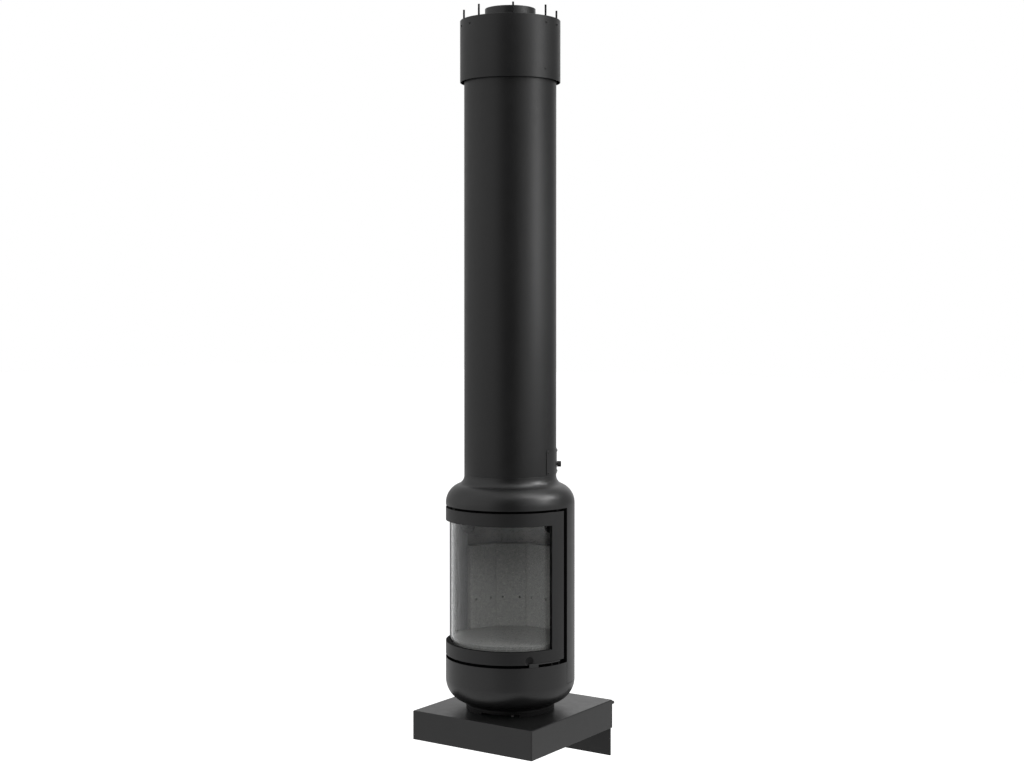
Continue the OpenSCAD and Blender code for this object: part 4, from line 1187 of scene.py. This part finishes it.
def make_seal():
    """A braided rope pressed into its channel, with strands that wind both ways."""
    half_w = SEAL_W / 2
    inner_r, outer_r = GLASS_IN_R - CLIP_T, DOOR_IN_R
    half_t = (outer_r - inner_r) / 2
    middle_r = (inner_r + outer_r) / 2
    path = seal_path()
    rings = []
    travelled = 0
    for i, (x, z) in enumerate(path):
        before, after = path[i - 1], path[(i + 1) % len(path)]
        travelled += math.hypot(x - before[0], z - before[1]) if i else 0
        run = Vector((after[0] - before[0], after[1] - before[1])).normalized()
        ring = []
        for k in range(ROPE_SIDES):
            turn = 2 * math.pi * k / ROPE_SIDES
            wind = 2 * math.pi * travelled / ROPE_LAY
            lay = math.cos(ROPE_STRANDS * (turn + wind)) * math.cos(ROPE_STRANDS * (turn - wind))
            swell = 1 - ROPE_SWELL + ROPE_SWELL * lay
            square = max(abs(math.cos(turn)), abs(math.sin(turn))) ** -ROPE_SQUARENESS
            side = half_w * swell * math.cos(turn) * square
            out = half_t * swell * math.sin(turn) * square
            side_x, side_z = x + run.y * side, z - run.x * side
            ring.append(at(middle_r + out, math.degrees(side_x / GLASS_OUT_R), side_z))
        rings.append(ring)
    solids = Solids()
    solids.loft(rings + rings[:1], caps=False)
    put(solids.made("braided_seal", 80), ROPE, "door", "rope_seal", "door_seal")


make_door()
make_glass()
make_handle()
make_seal()


# Floor, light and background

FLOOR_DROP = 450 * MM
FLOOR_HALF = 30
FLOOR_GLOW_IN_GLOSS = 0.5
AMBIENT = 0.22
FLAG_SOLID_SHARE = 0.3


def make_card(name, corners, level):
    """A flat matt card of one face, and its paint."""
    mesh = bpy.data.meshes.new(name)
    mesh.from_pydata(corners, [], [[0, 1, 2, 3]])
    card = bpy.data.objects.new(name, mesh)
    bpy.context.scene.collection.objects.link(card)
    paint = Paint(name)
    paint.set("Base Color", (level, level, level, 1))
    paint.set("Specular IOR Level", 0.0)
    mesh.materials.append(paint.material)
    return card, paint


def make_floor():
    """A pale floor, white to the camera and through glass, and half as bright in reflections."""
    z = BASE_Z - FLOOR_DROP
    corners = [(FLOOR_HALF * x, FLOOR_HALF * y, z) for x, y in ((-1, -1), (1, -1), (1, 1), (-1, 1))]
    floor, paint = make_card("floor", corners, 0.8)
    paint.set("Roughness", 0.9)
    path = paint.node("ShaderNodeLightPath")
    seen = paint.maths("MAXIMUM", path.outputs["Is Camera Ray"], path.outputs["Is Transmission Ray"])
    glow = paint.maths("MULTIPLY_ADD", path.outputs["Is Glossy Ray"], FLOOR_GLOW_IN_GLOSS, seen)
    paint.set("Emission Color", (1, 1, 1, 1))
    paint.link(glow, paint.shader.inputs["Emission Strength"])


def make_world():
    """A white backdrop to the camera, in reflections and through glass, and a plain weak light."""
    world = bpy.data.worlds.new("studio")
    bpy.context.scene.world = world
    world.use_nodes = True
    sky = Nodes(world.node_tree)
    background = sky.tree.nodes["Background"]
    path = sky.node("ShaderNodeLightPath")
    seen = sky.maths("MAXIMUM", path.outputs["Is Camera Ray"], path.outputs["Is Glossy Ray"])
    seen = sky.maths("MAXIMUM", seen, path.outputs["Is Transmission Ray"])
    background.inputs["Color"].default_value = (1, 1, 1, 1)
    sky.link(sky.ranged(seen, AMBIENT, 1, 0, 1), background.inputs["Strength"])


def softbox(name, turn, distance, z, width, height, power, look_z,
            glossy=True, diffuse=True, cone=180):
    """A soft panel round the stove, turned from the camera to its right. It looks at the stove's
    axis at look_z and throws its light into a cone."""
    data = bpy.data.lights.new(name, "AREA")
    data.shape = "RECTANGLE"
    data.size = width
    data.size_y = height
    data.energy = power
    data.spread = math.radians(cone)
    lamp = bpy.data.objects.new(name, data)
    bpy.context.scene.collection.objects.link(lamp)
    lamp.location = at(distance, CAMERA_AZIMUTH + turn, BASE_Z + z)
    aim = at(0, 0, BASE_Z + look_z) - lamp.location
    lamp.rotation_euler = aim.to_track_quat("-Z", "Y").to_euler()
    lamp.visible_camera = False
    lamp.visible_transmission = False
    lamp.visible_glossy = glossy
    lamp.visible_diffuse = diffuse


def make_flag(name, turn, distance, half_width, z_low, z_high, density=1):
    """A black card round the stove that only reflections see and that fades out to its sides, as
    studios use to shape them."""
    corners = [(-half_width, z_low, 0), (half_width, z_low, 0),
               (half_width, z_high, 0), (-half_width, z_high, 0)]
    flag, paint = make_card(name, corners, 0)
    flag.matrix_world = outwards(distance, CAMERA_AZIMUTH + turn, BASE_Z)
    off = paint.maths("ABSOLUTE", paint.along("X"))
    fade = paint.ranged(off, density, 0, half_width * FLAG_SOLID_SHARE, half_width)
    paint.link(fade, paint.shader.inputs["Alpha"])
    flag.visible_camera = False
    flag.visible_diffuse = False
    flag.visible_transmission = False
    flag.visible_shadow = False


make_floor()
make_world()
softbox("right_box", turn=66, distance=2.2, z=1.95, width=0.9, height=1.7, power=15.5, look_z=1.9)
softbox("left_box", turn=-75, distance=2.6, z=1.3, width=1.2, height=2.4, power=13, look_z=1.1,
        glossy=False)
softbox("top_box", turn=64, distance=1.5, z=3.3, width=1.0, height=1.0, power=19, look_z=0.7)
softbox("shoulder_box", turn=84, distance=1.7, z=2.1, width=0.7, height=0.5, power=1.7, look_z=1.0,
        diffuse=False, cone=30)
softbox("front_box", turn=8, distance=3.2, z=2.2, width=1.4, height=0.8, power=23, look_z=0.4,
        glossy=False)
make_flag("front_flag", turn=0, distance=2.4, half_width=1.7, z_low=-0.4, z_high=3.6)
make_flag("left_flag", turn=-140, distance=2.4, half_width=2.2, z_low=0.35, z_high=3.6, density=0.45)
make_flag("right_flag", turn=120, distance=2.4, half_width=1.7, z_low=0.35, z_high=3.6, density=0.7)

bpy.context.scene.view_settings.view_transform = "Standard"
